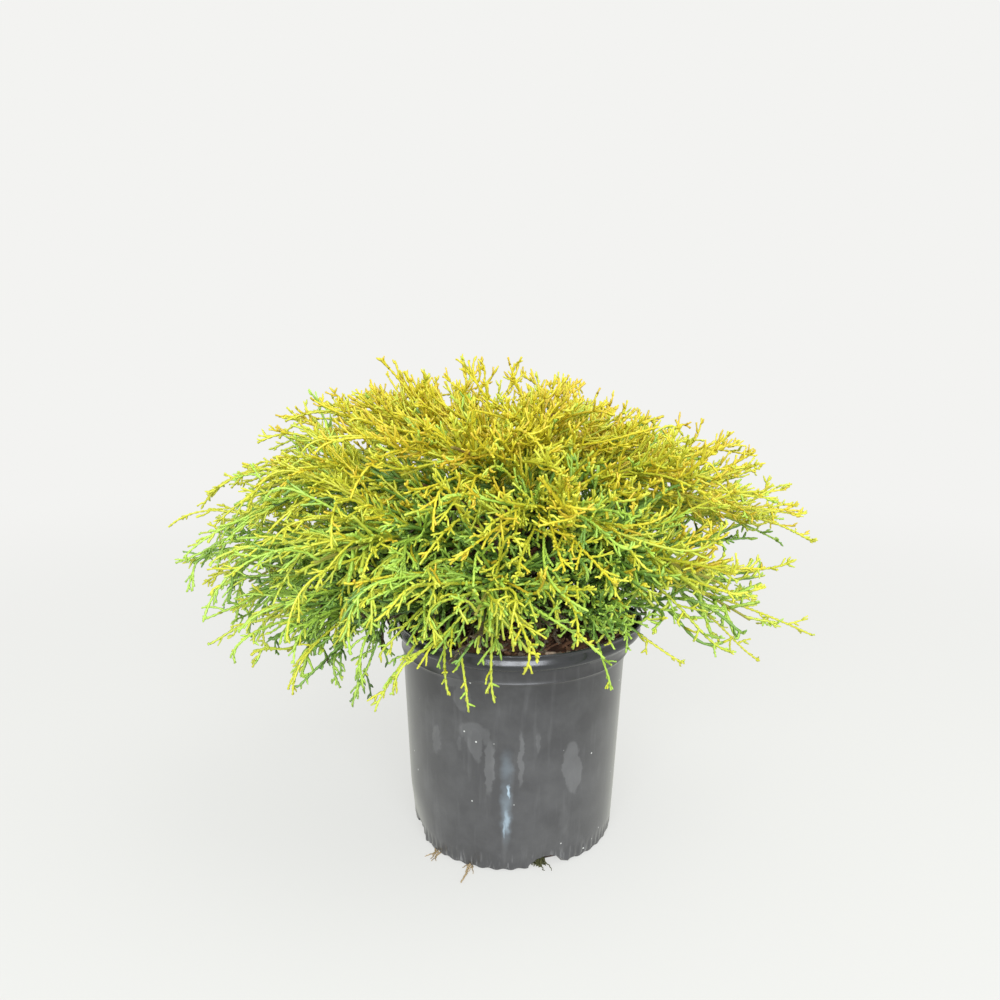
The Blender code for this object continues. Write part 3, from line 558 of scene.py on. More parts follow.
def shape_root_wisps(name, tufts, inset, highest):
    """Fine dead roots that start this far inside the foot, bend down and lie on the ground."""
    wisps = []
    share = np.linspace(0, 1, WISP_RINGS)[:, None]
    for azimuth, heading_out, count, proud, thick in tufts:
        for _ in range(count):
            turn = azimuth + draw.normal(0, WISP_STRAY)
            reach = BASE_RADIUS - inset
            rise = thick + 0.0002 + draw.uniform(*WISP_RISES) * highest
            start = np.array([reach * math.cos(turn), reach * math.sin(turn), rise])
            bend = heading_out + draw.normal(0, WISP_FAN)
            length = BASE_RADIUS - reach + proud * draw.uniform(*WISP_LENGTHS)
            out = np.array([math.cos(bend), math.sin(bend), 0.0])
            wiggle = np.cumsum(draw.normal(0, WISP_WIGGLE, (WISP_RINGS, 3)), axis=0)
            path = start + out * length * share + wiggle
            height = start[2] * (1 - share[:, 0] ** 2) + wiggle[:, 2] * share[:, 0]
            path[:, 2] = np.maximum(height, thick + 0.0001)
            radii = np.linspace(thick, thick * WISP_TAPER, WISP_RINGS)[None, :, None]
            wisps.append(tubes(path[None], np.repeat(radii, WISP_SIDES, 2), np.array([[0.1, 0.0, 1.0]])))
    return add_piece(name, joined(name, wisps))


def bark_mix(name, dark, light, grain):
    """Composted pine bark: damp, matt and fibrous, dark in the pores and reddish on the fresh breaks."""
    material, tree, shader = new_finish(name, {"Roughness": 0.9})
    place_on = add_node(tree, "TexCoord", {}).outputs["Object"]
    # Fibres are about 1 mm across, drawn at 1 to 2 mm, in patches of 8 mm
    fibres = add_node(
        tree, "TexNoise", {"Scale": grain, "Detail": 6.0, "Roughness": 0.65}, {"Vector": place_on})
    patches = add_node(tree, "TexNoise", {"Scale": 120.0, "Detail": 2.0}, {"Vector": place_on})
    share = add_node(tree, "Math", {"operation": "MULTIPLY_ADD", 1: 0.5}, {0: patches, 2: fibres})
    tone = add_node(tree, "MapRange", {"From Min": 0.55, "From Max": 0.98}, {"Value": share})
    colour = add_node(tree, "Mix", {"data_type": "RGBA", 6: linear(dark), 7: linear(light)}, {0: tone})
    tree.links.new(colour.outputs[2], shader.inputs["Base Color"])
    rough = add_node(tree, "Bump", {"Strength": 0.7, "Distance": 0.0008}, {"Height": fibres})
    tree.links.new(rough.outputs[0], shader.inputs["Normal"])
    return material


ball = shape_root_ball()
place(ball, [bark_mix("composted_bark", "#1E140E", "#6A4430", 620.0)], ["root_ball"])
flake_corners, flake_faces, flake_tones = shape_flakes()
flakes = add_piece("bark_flakes", triangle_mesh("bark_flakes", flake_corners, flake_faces))
flakes.data.shade_flat()
place(flakes, [bark_mix(*finish, 500.0) for finish in FLAKE_FINISHES], ["root_ball"])
flakes.data.polygons.foreach_set("material_index", np.array(flake_tones, np.int32))
foot_roots = shape_root_wisps("roots_under_foot", FOOT_TUFTS, 0.002, 0.0)
place(foot_roots, [bark_mix("dead_roots", "#5E4C30", "#CDB58C", 900.0)], ["root_ball"])
notch_roots = shape_root_wisps("roots_in_notches", NOTCH_TUFTS, 0.009, 0.0050)
place(notch_roots, [bark_mix("damp_roots", "#2A2E14", "#5C5C34", 900.0)], ["root_ball"])


# The trunk, its boughs and their stems. The wood is a short leaning stem with one tapering bough to each
# mass of foliage, grown out of it. Its thin reddish bark splits lengthwise and peels in strips.

TRUNK_TOP = 0.236
TRUNK_RADIUS, TRUNK_TIP_RADIUS = 0.0058, 0.0026
ROOT_FLARE, ROOT_FLARE_HEIGHT = 0.0040, 0.010
TRUNK_FOOT, TRUNK_LEAN = np.array((0.004, 0.005)), np.array((-0.010, -0.006))
SEAT_GAP = 0.0003

# The crown is planned on a ball round its heart. A direction of the plan is stretched by the crown's reach,
# which swells at the lobes: a direction, how much it swells there, and how wide the lobe is
CROWN_HEART, CROWN_HALF_SIZE = np.array((0.0, 0.0, 0.200)), np.array((0.23, 0.18, 0.14))
REACH_RIGHT, REACH_LEFT, REACH_BACK, REACH_FRONT = 0.217, 0.240, 0.190, 0.168
REACH_UP, REACH_DOWN = 0.147, 0.120
SKIRT_LEFT, SKIRT_RIGHT, SKIRT_FRONT, SKIRT_BACK = -0.62, -0.44, -0.12, -0.45
LOBES = (
    (np.array((-0.62, 0.0, 0.78)), 0.10, 0.45),
    (np.array((0.50, -0.1, 0.86)), -0.09, 0.40),
    (np.array((0.90, 0.0, 0.40)), 0.05, 0.40),
    (np.array((0.2, 0.9, 0.38)), 0.05, 0.50),
)
# The masses of foliage stand in a spiral from the skirt to the top, and in a collar over the pot's lip
SPIRAL_COUNT, COLLAR_COUNT = 20, 5
MASS_COUNT = SPIRAL_COUNT + COLLAR_COUNT
COLLAR_REACH, COLLAR_PLAN_HEIGHT = 0.56, -0.20
COLLAR_FIRST_AZIMUTH, COLLAR_BOUGH_HEIGHT = math.radians(-122), 0.1665
GOLDEN_ANGLE, FIRST_AZIMUTH, FIRST_BOUGH_HEIGHT = math.radians(137.508), math.radians(211), 0.172
LAUNCH_LIFT, FLATTEST, STEEPEST = math.radians(30), math.radians(40), math.radians(86)
LIMB_BOW, STEM_SHARE, BOUGH_SHARE, SPIRAL_START = 0.50, 0.82, 0.32, 0.4
BOUGH_RADIUS, STEM_TIP_RADIUS = 0.0023, 0.0009
TRUNK_RINGS, TRUNK_SIDES = 110, 36
LIMB_RINGS, LIMB_SIDES = 46, 12
BARK_STRIPS, BARK_RELIEF, BARK_GRAIN = (3, 5, 8, 11), 0.085, 0.012
UP = np.array((0.0, 0.0, 1.0))


def unit(vectors):
    """The vectors, one or many, at length one."""
    return vectors / (np.linalg.norm(vectors, axis=-1)[..., None] + 1e-12)


def heading(azimuth, elevation):
    """The unit vector that points this way."""
    flat = math.cos(elevation)
    return np.array((flat * math.cos(azimuth), flat * math.sin(azimuth), math.sin(elevation)))


def crown_reach(plans):
    """How far the crown reaches, by axis, for unit directions of its plan."""
    swell = np.ones(plans.shape[:-1])
    for centre, amount, width in LOBES:
        apart = np.linalg.norm(plans - unit(centre), axis=-1) / width
        swell = swell + amount * np.exp(-apart * apart)
    across = np.where(plans[..., 0] > 0, REACH_RIGHT, REACH_LEFT)
    deep = np.where(plans[..., 1] > 0, REACH_BACK, REACH_FRONT)
    tall = np.where(plans[..., 2] > 0, REACH_UP, REACH_DOWN)
    return np.stack([across, deep, tall], -1) * swell[..., None]


def crown_point(plans, share=1.0):
    """The place at this share of the crown's reach, for unit directions of its plan."""
    return CROWN_HEART + plans * crown_reach(plans) * share


def trunk_share(height):
    """How far up the trunk a height is, as a share."""
    return (height - soil_height(0)) / (TRUNK_TOP - soil_height(0))


def trunk_radius(height):
    """The trunk's radius at this height, with its root flare."""
    flare = ROOT_FLARE * max(0.0, 1 - (height - soil_height(0)) / ROOT_FLARE_HEIGHT) ** 2
    return TRUNK_RADIUS + (TRUNK_TIP_RADIUS - TRUNK_RADIUS) * trunk_share(height) + flare


def trunk_point(height):
    """The middle of the leaning trunk at this height."""
    return np.array((*(TRUNK_FOOT + TRUNK_LEAN * trunk_share(height)), height))


def skirt_height(azimuth):
    """How low the foliage hangs on the plan's ball: least in front, where the pot's lip shows."""
    across = SKIRT_RIGHT if math.cos(azimuth) > 0 else SKIRT_LEFT
    deep = SKIRT_BACK if math.sin(azimuth) > 0 else SKIRT_FRONT
    return across + (deep - across) * math.sin(azimuth) ** 2


def mass_plan(number):
    """The direction of a mass of foliage on the plan."""
    if number >= SPIRAL_COUNT:
        azimuth = COLLAR_FIRST_AZIMUTH + (number - SPIRAL_COUNT) * 2 * math.pi / COLLAR_COUNT
        return heading(azimuth, math.asin(COLLAR_PLAN_HEIGHT))
    azimuth = FIRST_AZIMUTH + number * GOLDEN_ANGLE
    skirt = skirt_height(azimuth)
    return heading(azimuth, math.asin(skirt + (1 - skirt) * (number + SPIRAL_START) / SPIRAL_COUNT))


def mass_reach(number):
    """How far out a mass goes, as a share of the crown's reach."""
    return COLLAR_REACH if number >= SPIRAL_COUNT else 1.0


def bowed(start, leave, end, steps, bow):
    """Points on a limb that leaves start along leave and bows over to end."""
    control = start + leave * np.linalg.norm(end - start) * bow
    share = np.linspace(0, 1, steps)[:, None]
    return (1 - share) ** 2 * start + 2 * share * (1 - share) * control + share**2 * end


def limb_path(number):
    """A bough and the stem it carries, as one bow from the trunk to near the crown's outline."""
    plan = mass_plan(number)
    height = FIRST_BOUGH_HEIGHT + (TRUNK_TOP - TRUNK_TIP_RADIUS - FIRST_BOUGH_HEIGHT) * number / SPIRAL_COUNT
    if number >= SPIRAL_COUNT:
        height = COLLAR_BOUGH_HEIGHT
    azimuth = math.atan2(plan[1], plan[0])
    leave = heading(azimuth, min(STEEPEST, max(FLATTEST, math.asin(plan[2]) + LAUNCH_LIFT)))
    off_axis = trunk_radius(height) + BOUGH_RADIUS * leave[2] + SEAT_GAP
    start = trunk_point(height) + heading(azimuth, 0) * off_axis
    return bowed(start, leave, crown_point(plan, STEM_SHARE * mass_reach(number)), LIMB_RINGS, LIMB_BOW)


def bark_relief(rings, sides, length, radius, seed):
    """Lengthwise splits and strips in the bark, as a share of the radius for each ring and side."""
    turn = np.random.default_rng(seed)
    along = np.linspace(0, length, rings)[:, None]
    round_it = 2 * np.pi * np.arange(sides)[None] / sides
    relief = np.zeros((rings, sides))
    for strips in BARK_STRIPS:
        drift = turn.uniform(-1, 1) * along / (radius * 9) + turn.uniform(0, 6.28)
        patch_length = radius * turn.uniform(2.0, 4.0)
        twist = round_it * turn.integers(1, 3)
        patch = 0.5 + 0.5 * np.sin(along / patch_length + twist + turn.uniform(0, 6.28))
        relief += (1 - 2 * np.abs(np.sin(strips * round_it / 2 + drift))) * patch / math.sqrt(strips)
    return BARK_RELIEF * relief + turn.normal(0, BARK_GRAIN, (rings, sides))


def shape_wood(limbs):
    """The trunk, the boughs and their stems as tubes with the bark's relief, joined as one mesh."""
    foot = soil_height(0) + SEAT_GAP
    heights = foot + (TRUNK_TOP - foot) * np.linspace(0, 1, TRUNK_RINGS) ** 1.3
    path = np.array([trunk_point(height) for height in heights])
    radii = np.array([trunk_radius(height) for height in heights])[:, None]
    radii = radii * (1 + bark_relief(TRUNK_RINGS, TRUNK_SIDES, TRUNK_TOP - foot, TRUNK_RADIUS, 3))
    made = [tubes(path[None], radii[None], np.array([[1.0, 0.0, 0.0]]))]
    for number, path in enumerate(limbs):
        share = np.linspace(0, 1, LIMB_RINGS)[:, None]
        radii = BOUGH_RADIUS + (STEM_TIP_RADIUS - BOUGH_RADIUS) * share**0.8
        length = np.linalg.norm(np.diff(path, axis=0), axis=1).sum()
        radii = radii * (1 + bark_relief(LIMB_RINGS, LIMB_SIDES, length, BOUGH_RADIUS, 50 + number))
        side = np.cross(path[-1] - path[0], UP)
        # Each bough's foot is sunk into the trunk, so that it grows out of it
        path = np.concatenate([path[:1] - (path[1] - path[0]) * 0.9, path[1:]])
        made.append(tubes(path[None], radii[None], unit(side)[None]))
    return joined("trunk_and_boughs", made)


def cypress_bark():
    """Cypress bark: thin, dry and stringy, dark brown, with reddish strips where it has peeled. Far out the
    wood is young and its bark still olive."""
    material, tree, shader = new_finish("cypress_bark", {"Roughness": 0.85})
    place_on = add_node(tree, "TexCoord", {}).outputs["Object"]
    # Strips are about 1.5 mm wide and 13 mm long, with 0.5 mm fibres in them
    stretched = add_node(tree, "Mapping", {"Scale": (1.0, 1.0, 0.12)}, {"Vector": place_on})
    strips = add_node(tree, "TexNoise", {"Scale": 650.0, "Detail": 5.0}, {"Vector": stretched})
    fibres = add_node(tree, "TexNoise", {"Scale": 1900.0, "Detail": 2.0}, {"Vector": stretched})
    tone = add_node(tree, "MapRange", {"From Min": 0.35, "From Max": 0.68}, {"Value": strips})
    colour = add_node(
        tree, "Mix", {"data_type": "RGBA", 6: linear("#4A2C1C"), 7: linear("#A0704C")}, {0: tone})
    flat = add_node(tree, "Mapping", {"Scale": (1.0, 1.0, 0.0)}, {"Vector": place_on})
    from_axis = add_node(tree, "VectorMath", {"operation": "LENGTH"}, {0: flat}).outputs["Value"]
    young = add_node(tree, "MapRange", {"From Min": 0.060, "From Max": 0.110}, {"Value": from_axis})
    green = add_node(
        tree, "Mix", {"data_type": "RGBA", 7: linear("#8E8C3A")}, {0: young, 6: colour.outputs[2]})
    tree.links.new(green.outputs[2], shader.inputs["Base Color"])
    coarse = add_node(tree, "Bump", {"Strength": 0.6, "Distance": 0.0006}, {"Height": strips})
    fine = add_node(tree, "Bump", {"Strength": 0.4, "Distance": 0.0002}, {"Height": fibres, "Normal": coarse})
    tree.links.new(fine.outputs[0], shader.inputs["Normal"])
    return material


LIMBS = [limb_path(number) for number in range(MASS_COUNT)]
wood = add_piece("trunk_and_boughs", shape_wood(LIMBS))
place(
    wood, [cypress_bark()],
    ["trunk"] + [f"bough_{number + 1:02d}" for number in range(MASS_COUNT)])


# The foliage. It is a mop of weeping cords: long whips leave the stems of each mass, arch over the crown's
# outline and hang, and their side shoots fork again. Every cord is clad in crossed pairs of tight scale
# leaves, gold on the young shoots in the light and green on the older ones under them. Their colours are
# also painted light and shade: a spray is dealt a darker one where the crown shades it.

# The whips of each mass: how many, how far they spread, and between which shares of the stem they leave it
WHIP_COUNT, TOP_WHIP_COUNT, COLLAR_WHIP_COUNT = 17, 25, 17
WHIP_SPREAD, COLLAR_SPREAD = math.radians(25), math.radians(44)
TOP_PLAN_HEIGHT = 0.45
LEAVES_FIRST, LEAVES_LAST, LEADER_LEAVES, LONG_LEAVES = 0.12, 0.80, 0.97, 0.46
TIP_RAGGED, LEADER_REACH, COLLAR_DROOP = 0.14, 0.97, 0.026
# The whips of the skirt, those that come down to the pot's lip in front, and the older ones inside: how many,
# between which plan heights, and between which shares of the crown's reach they end
SKIRT_WHIP_COUNT, SKIRT_BELOW, SKIRT_ABOVE, SKIRT_DEPTHS = 180, 0.20, 0.36, (0.48, 0.84)
FRONT_WHIP_COUNT, FRONT_SPREAD = 30, math.radians(52)
FRONT_HEIGHTS, FRONT_DEPTHS = (-0.38, -0.10), (0.50, 0.68)
CORE_WHIP_COUNT, CORE_DEPTHS, CORE_OPEN = 350, (0.42, 0.85), 0.6
# How a whip bends: how much of its first heading is the stem's, how far it hangs on the left and on the
# right, where on the plan and over how much of it one turns into the other, and how far it strays
FORWARD_SHARE, BOW_SHARE, BOW_DEPTH = 0.5, 0.45, 0.93
HANG_LEFT, HANG_RIGHT, HANG_RIGHT_FROM, HANG_RIGHT_OVER = 0.28, 0.04, -0.4, 0.8
HANG_SHARES, WHIP_WAVES = (0.5, 1.3), (4, 9)
WHIP_STRAY, BOW_STRAY, WHIP_ROLL = 0.0038, 0.011, math.radians(40)
WHIP_POINTS, FEWEST_POINTS, TIP_POINTS, WAY_OUT = 60, 9, 10, 0.3
# How bushy a whip is. A share of them is barer, and the long ones are straighter and barer too
BUSHY, BARE, BARE_SHARE = (0.9, 1.25), 0.55, 0.25
LONG_STRAY, LONG_BUSHY = 0.3, 0.6
# Cords: the length of a scale leaf's pair, the radii from foot to tip, and how far the pairs step in and out.
# Inside the crown, which hardly shows, they are coarse, with three sides
FINE_PITCH, COARSE_PITCH = 0.0021, 0.0040
WHIP_RADII, SHOOT_RADII, FORK_RADII = (0.00098, 0.00074), (0.00083, 0.00067), (0.00075, 0.00060)
FILL_RADII, FILL_FORK_RADII = (0.00160, 0.00110), (0.00110, 0.00085)
KNOB, COARSE_KNOB, COARSE_SIDES = 0.28, 0.6, (1.1, 1.0, 1.0)
# The depth, as a share of the crown's reach, at which each kind of whip turns from coarse to fine
FINE_FROM = {"coarse": 9.0, "fine outside": 0.60, "fine": 0.0}
# Side shoots, their forks and the shaded shoots that fill the inside: spacing, length, angle and bend. A
# filling shoot is lit as a place this far ahead along its parent is
SHOOT_SPACING, SHOOT_LEAST, SHOOT_MOST, SHOOT_SHARE = 0.0070, 0.005, 0.032, 0.34
SHOOT_ANGLE_LEFT, SHOOT_ANGLE_RIGHT = math.radians(32), math.radians(44)
SHOOT_STRAY, SHOOT_ROLL, SHOOT_BEND = math.radians(16), math.radians(55), 0.22
SHOOTS_FIRST, SHOOTS_LAST, SHOOTS_LONGER_RIGHT = 0.20, 0.90, 0.07
SHOOTS_RIGHT_FROM, SHOOTS_RIGHT_OVER, SHOOTS_FINE_BEFORE = -0.12, 0.16, 0.05
FORK_SPACING, FORK_ENDS, FORK_RUN = 0.0049, (0.25, 0.97), (0.003, 0.011, 0.40)
FORK_ANGLES, FORK_ROLL, FORK_BEND = (math.radians(44), math.radians(10)), math.radians(45), 0.18
FILL_SPACING, FILL_ENDS, FILL_RUN = 0.0034, (0.10, 0.94), (0.022, 0.056, 0.3)
FILL_ANGLES, FILL_BEND, FILL_AHEAD = (math.radians(58), math.radians(16)), 0.2, 0.03
CURL, PLACE_LUCK, LENGTH_SHARES, LENGTH_LUCK = 0.17, (0.1, 0.9), (0.35, 1.1), (0.75, 1.15)
# The sag on the left, on the right and near the top, and where and over how long one turns into the next
SAG_LEFT, SAG_RIGHT, SAG_TOP = 0.09, -0.12, -0.34
SAG_RIGHT_FROM, SAG_RIGHT_OVER, SAG_TOP_FROM, SAG_TOP_OVER = -0.06, 0.12, 0.235, 0.08
# The tips of the longest shoots, which make the outline and hang over the pot's lip
LONG_SHOOTS = [
    (-0.098, 0.000, 0.346), (-0.246, 0.000, 0.225), (0.221, 0.000, 0.147), (0.205, 0.010, 0.238),
    (0.181, 0.000, 0.128), (-0.027, -0.108, 0.135), (-0.083, -0.120, 0.140), (-0.139, -0.100, 0.140),
    (0.112, -0.070, 0.152), (0.062, -0.090, 0.142), (-0.012, -0.112, 0.142), (-0.040, -0.106, 0.146),
]
# Where the crown is lean: a direction of the plan, how much shorter it is there, and how wide the place is.
# At the last one it is longer
LEAN_PLACES = (
    (np.array((-0.80, -0.1, 0.60)), 0.09, 0.40),
    (np.array((0.75, -0.3, -0.45)), 0.12, 0.45),
    (np.array((0.50, 0.25, 0.83)), 0.11, 0.38),
    (np.array((-0.42, 0.10, 0.88)), 0.09, 0.30),
    (np.array((-0.50, -0.3, -0.75)), 0.12, 0.40),
    (np.array((-0.05, -0.1, 1.00)), -0.05, 0.25),
)
# Right of this place, the share of whips left out below and above this height, where light comes through
OPEN_LEFT, OPEN_TOP, OPEN_LOW, OPEN_HIGH = 0.070, 0.210, 0.90, 0.15
# What a place gains or loses in light, which the sprays' colours paint in as light and shade: in the open,
# by depth and more so near the top; high up; on the left and on the right, per metre; and over the soil,
# where the crown shades itself. Each goes with where it starts and how soon it is full
SKY_GAIN, SKY_FROM, SKY_OVER, SKY_AT_TOP = 0.50, 0.33, 0.45, 0.24
HIGH_GAIN, HIGH_FROM, HIGH_OVER = 0.48, -0.50, 1.3
LEFT_LOSS, LEFT_FROM, LEFT_OVER = 0.65, -0.05, 0.15
RIGHT_GAIN, RIGHT_FROM, RIGHT_OVER, RIGHT_ABOVE, RIGHT_RISE = 1.10, 0.02, 0.13, 0.19, 0.06
SHADE_LOSS, SHADE_MIDDLE, SHADE_SIDE, SHADE_FADE = 0.17, -0.01, 0.055, 0.02
SHADE_BELOW, SHADE_DROP = 0.230, 0.04
USUAL_GAIN, LONG_GAIN, CORE_GAIN, FILL_GAIN = 0.02, 0.34, 0.12, -0.06
WHIP_LUCK, SHOOT_LUCK, FILL_LUCK = 0.18, 0.14, 0.06
# The finishes that the sprays are dealt. The first seven are painted shade and light, from deep shade to
# full light, and the ripe ones high up are gold instead. The darkest is old dead shoots deep inside, and
# painted shade as well
TONES = [
    ("old_brown_and_shade", "#3E3420"),
    ("shade_green", "#48642A"),
    ("deep_green", "#749A42"),
    ("leaf_green", "#98BA4C"),
    ("mid_green", "#A9CA4E"),
    ("yellow_green", "#BAC642"),
    ("lemon", "#C5C738"),
    ("gold", "#C4AF26"),
    ("bright_gold", "#CDC22C"),
    ("amber", "#CDB32E"),
]
DEEP_GREEN, LEMON, GOLD, AMBER = 2, 6, 7, 9
TONES_PER_LIGHT, DARKEST = 7.2, 0.60
# Shoots turn gold above this height, give or take the stray. It rises to the left and falls to the right
GOLD_HEIGHT, GOLD_STRAY = 0.272, 0.040
GOLD_RISE, GOLD_RISE_FROM, GOLD_FALL, GOLD_FALL_FROM, GOLD_FALL_OVER = 0.36, -0.05, 0.15, 0.03, 0.12
AMBER_ABOVE, AMBER_RIGHT_OF, AMBER_SHARE = 0.285, -0.05, 0.12
FORK_LIGHTER, FORK_DARKER = 0.3, 0.75
# How far a cord's middle keeps from the pot's lip outside and inside, and from the bark mix, and how far past
# the solids' box it may go
CLEAR_OUTSIDE, CLEAR_INSIDE, CLEAR_OF_SOIL, PAST_BOX = 0.0022, 0.005, 0.0030, 0.003
PIECE_TRIANGLES = 190000
draw = np.random.default_rng(12)
cords = []


def length_of(path):
    """The length along a path."""
    return np.linalg.norm(np.diff(path, axis=0), axis=1).sum()


def even(path, count):
    """The path in this many points, evenly spaced along it."""
    run = np.concatenate([[0], np.cumsum(np.linalg.norm(np.diff(path, axis=0), axis=1))])
    at = np.linspace(0, run[-1], count)
    return np.stack([np.interp(at, run, path[:, k]) for k in range(3)], 1)


def free(points):
    """Which points are clear of the pot, the bark mix and the trunk, and within the crown's reach."""
    beside = np.hypot(points[..., 0], points[..., 1])
    lip = LIP_RADIUS + pot_shift(np.arctan2(points[..., 1], points[..., 0]), POT_HEIGHT)
    outside = beside > lip + CLEAR_OUTSIDE
    above = points[..., 2] > POT_HEIGHT + CLEAR_OUTSIDE
    within = (beside < lip - CLEAR_INSIDE) & (points[..., 2] > soil_height(beside) + CLEAR_OF_SOIL)
    stem = TRUNK_FOOT + TRUNK_LEAN * trunk_share(points[..., 2])[..., None]
    off_stem = np.linalg.norm(points[..., :2] - stem, axis=-1) > TRUNK_RADIUS
    lowest, highest = np.array(cad_box[0]) - PAST_BOX, np.array(cad_box[1]) + PAST_BOX
    return (outside | above | within) & off_stem & np.all((points > lowest) & (points < highest), axis=-1)


def depth_of(points):
    """How far out a place is, as a share of the crown's reach in its direction."""
    plans = unit((points - CROWN_HEART) / CROWN_HALF_SIZE)
    return np.linalg.norm((points - CROWN_HEART) / crown_reach(plans), axis=-1)


def light_on(points):
    """How much light a place gets, where 1 is the full light of the crown's outline."""
    x, z = points[..., 0], points[..., 2]
    up = (z - CROWN_HEART[2]) / REACH_UP
    open_sky = np.clip((depth_of(points) - SKY_FROM + SKY_AT_TOP * np.clip(up, 0, 1)) / SKY_OVER, 0, 1)
    high = np.clip((up - HIGH_FROM) / HIGH_OVER, 0, 1)
    to_left = np.clip(LEFT_FROM - x, 0, LEFT_OVER)
    to_right = np.clip(x - RIGHT_FROM, 0, RIGHT_OVER) * np.clip((z - RIGHT_ABOVE) / RIGHT_RISE, 0, 1)
    in_middle = np.clip((SHADE_SIDE - np.abs(x - SHADE_MIDDLE)) / SHADE_FADE, 0, 1)
    over_soil = in_middle * np.clip((SHADE_BELOW - z) / SHADE_DROP, 0, 1)
    light = SKY_GAIN * open_sky + HIGH_GAIN * high - LEFT_LOSS * to_left + RIGHT_GAIN * to_right
    return light - SHADE_LOSS * over_soil


def tone_of(light, points):
    """The finish for this much light: one of the first seven, or one of the golds in its place."""
    tones = np.clip(np.floor(light * TONES_PER_LIGHT + DARKEST).astype(int), 0, LEMON)
    height = points[..., 2] + GOLD_RISE * np.minimum(points[..., 0] - GOLD_RISE_FROM, 0)
    height = height + GOLD_FALL * np.clip(points[..., 0] - GOLD_FALL_FROM, 0, GOLD_FALL_OVER)
    high = height + draw.normal(0, GOLD_STRAY, tones.shape) > GOLD_HEIGHT
    return np.where((tones >= LEMON - 1) & high, tones + 2, tones)


def keep_cords(paths, guides, ends, tones, fine):
    """Stores cords of like length, given as (cords, rings, 3). Fine ones have four sides that step in and out
    by turns, as the crossed pairs of scale leaves do."""
    rings = paths.shape[1]
    taper = np.linspace(*ends, rings)[:, None]
    wave = KNOB * np.where(np.arange(rings) % 2, 1.0, -1.0)
    crossed = np.stack([1 + wave, 1 - wave, 1 + wave, 1 - wave], 1)
    if not fine:
        crossed = (1 + COARSE_KNOB * wave[:, None]) * np.array(COARSE_SIDES)
    radii = np.broadcast_to((taper * crossed)[None], (len(paths), rings, crossed.shape[1]))
    for tone in np.unique(tones):
        mine = tones == tone
        cords.append((int(tone), paths[mine], radii[mine], guides[mine]))


def grow(starts, along, side, angles, lengths, sags, bend, rings):
    """Side shoots as (shoots, rings, 3): each leaves its parent at an angle, curves forwards again, curls its
    own way and sags."""
    leave = along * np.cos(angles)[:, None] + side * np.sin(angles)[:, None]
    share = np.linspace(0, 1, rings)[None, :, None]
    curls = draw.normal(0, CURL, starts.shape)
    ahead = leave[:, None] * share + ((along - leave) * bend + curls)[:, None] * share**2
    return starts[:, None] + lengths[:, None, None] * (ahead - sags[:, None, None] * share**2 * UP)


def branch(parent, across, spacing, ends, angles, run):
    """The side shoots of a cord, left and right by turns: starts, directions, sides, lengths, angles."""
    length = length_of(parent)
    first, last = ends
    count = max(1, int(length * (last - first) / spacing))
    at = first + (last - first) * (np.arange(count) + draw.uniform(*PLACE_LUCK, count)) / count
    index = at * (len(parent) - 1)
    low = np.minimum(index.astype(int), len(parent) - 2)
    part = (index - low)[:, None]
    starts = parent[low] * (1 - part) + parent[low + 1] * part
    along = unit(parent[low + 1] - parent[low])
    turns = np.where((np.arange(count) + draw.integers(2)) % 2, 1.0, -1.0)[:, None]
    side = unit(across - along * (along @ across)[:, None]) * turns
    least, most, share = run
    lengths = np.clip(least + length * (1 - at) * share * draw.uniform(*LENGTH_SHARES, count), least, most)
    lengths = lengths * draw.uniform(*LENGTH_LUCK, count)
    return starts, along, side, lengths, draw.normal(*angles, count)


def sag_at(points):
    """How much side shoots sag: most on the left. They rise a little on the right, and more near the top."""
    low = SAG_LEFT + (SAG_RIGHT - SAG_LEFT) * fade((points[:, 0] - SAG_RIGHT_FROM) / SAG_RIGHT_OVER)
    return low + (SAG_TOP - low) * fade((points[:, 2] - SAG_TOP_FROM) / SAG_TOP_OVER)


def deal(shoots, tones, radii, fine, bend, roll):
    """Grows the side shoots in groups of like length, and keeps those that stay clear. Gives each one's path,
    the direction across it and its tone."""
    starts, along, side, lengths, angles = shoots
    rolls = draw.normal(0, roll, len(starts))[:, None]
    side = side * np.cos(rolls) + np.cross(along, side) * np.sin(rolls)
    sags = sag_at(starts)
    rings = np.maximum(3, np.round(lengths / (FINE_PITCH if fine else COARSE_PITCH)).astype(int) + 1)
    kept = []
    for count in np.unique(rings):
        mine = np.flatnonzero(rings == count)
        group = [values[mine] for values in (starts, along, side, angles, lengths, sags)]
        paths = grow(*group, bend, count)
        clear = free(paths[:, 1:]).all(1)
        mine, paths = mine[clear], paths[clear]
        if len(mine):
            keep_cords(paths, side[mine], radii, tones[mine], fine)
            kept += [(path, side[k], tones[k]) for path, k in zip(paths, mine)]
    return kept


def fork(path, across, tone, fine):
    """The short forks of one cord, some a shade lighter than it and some a shade darker."""
    forks = branch(path, across, FORK_SPACING, FORK_ENDS, FORK_ANGLES, FORK_RUN)
    luck = draw.random(len(forks[0]))
    tones = np.where(luck < FORK_LIGHTER, tone + 1, np.where(luck > FORK_DARKER, tone - 1, tone))
    tones = np.clip(tones, GOLD, AMBER) if tone > GOLD else np.clip(tones, 0, max(tone, LEMON))
    deal(forks, tones, FORK_RADII if fine else FILL_FORK_RADII, fine, FORK_BEND, FORK_ROLL)


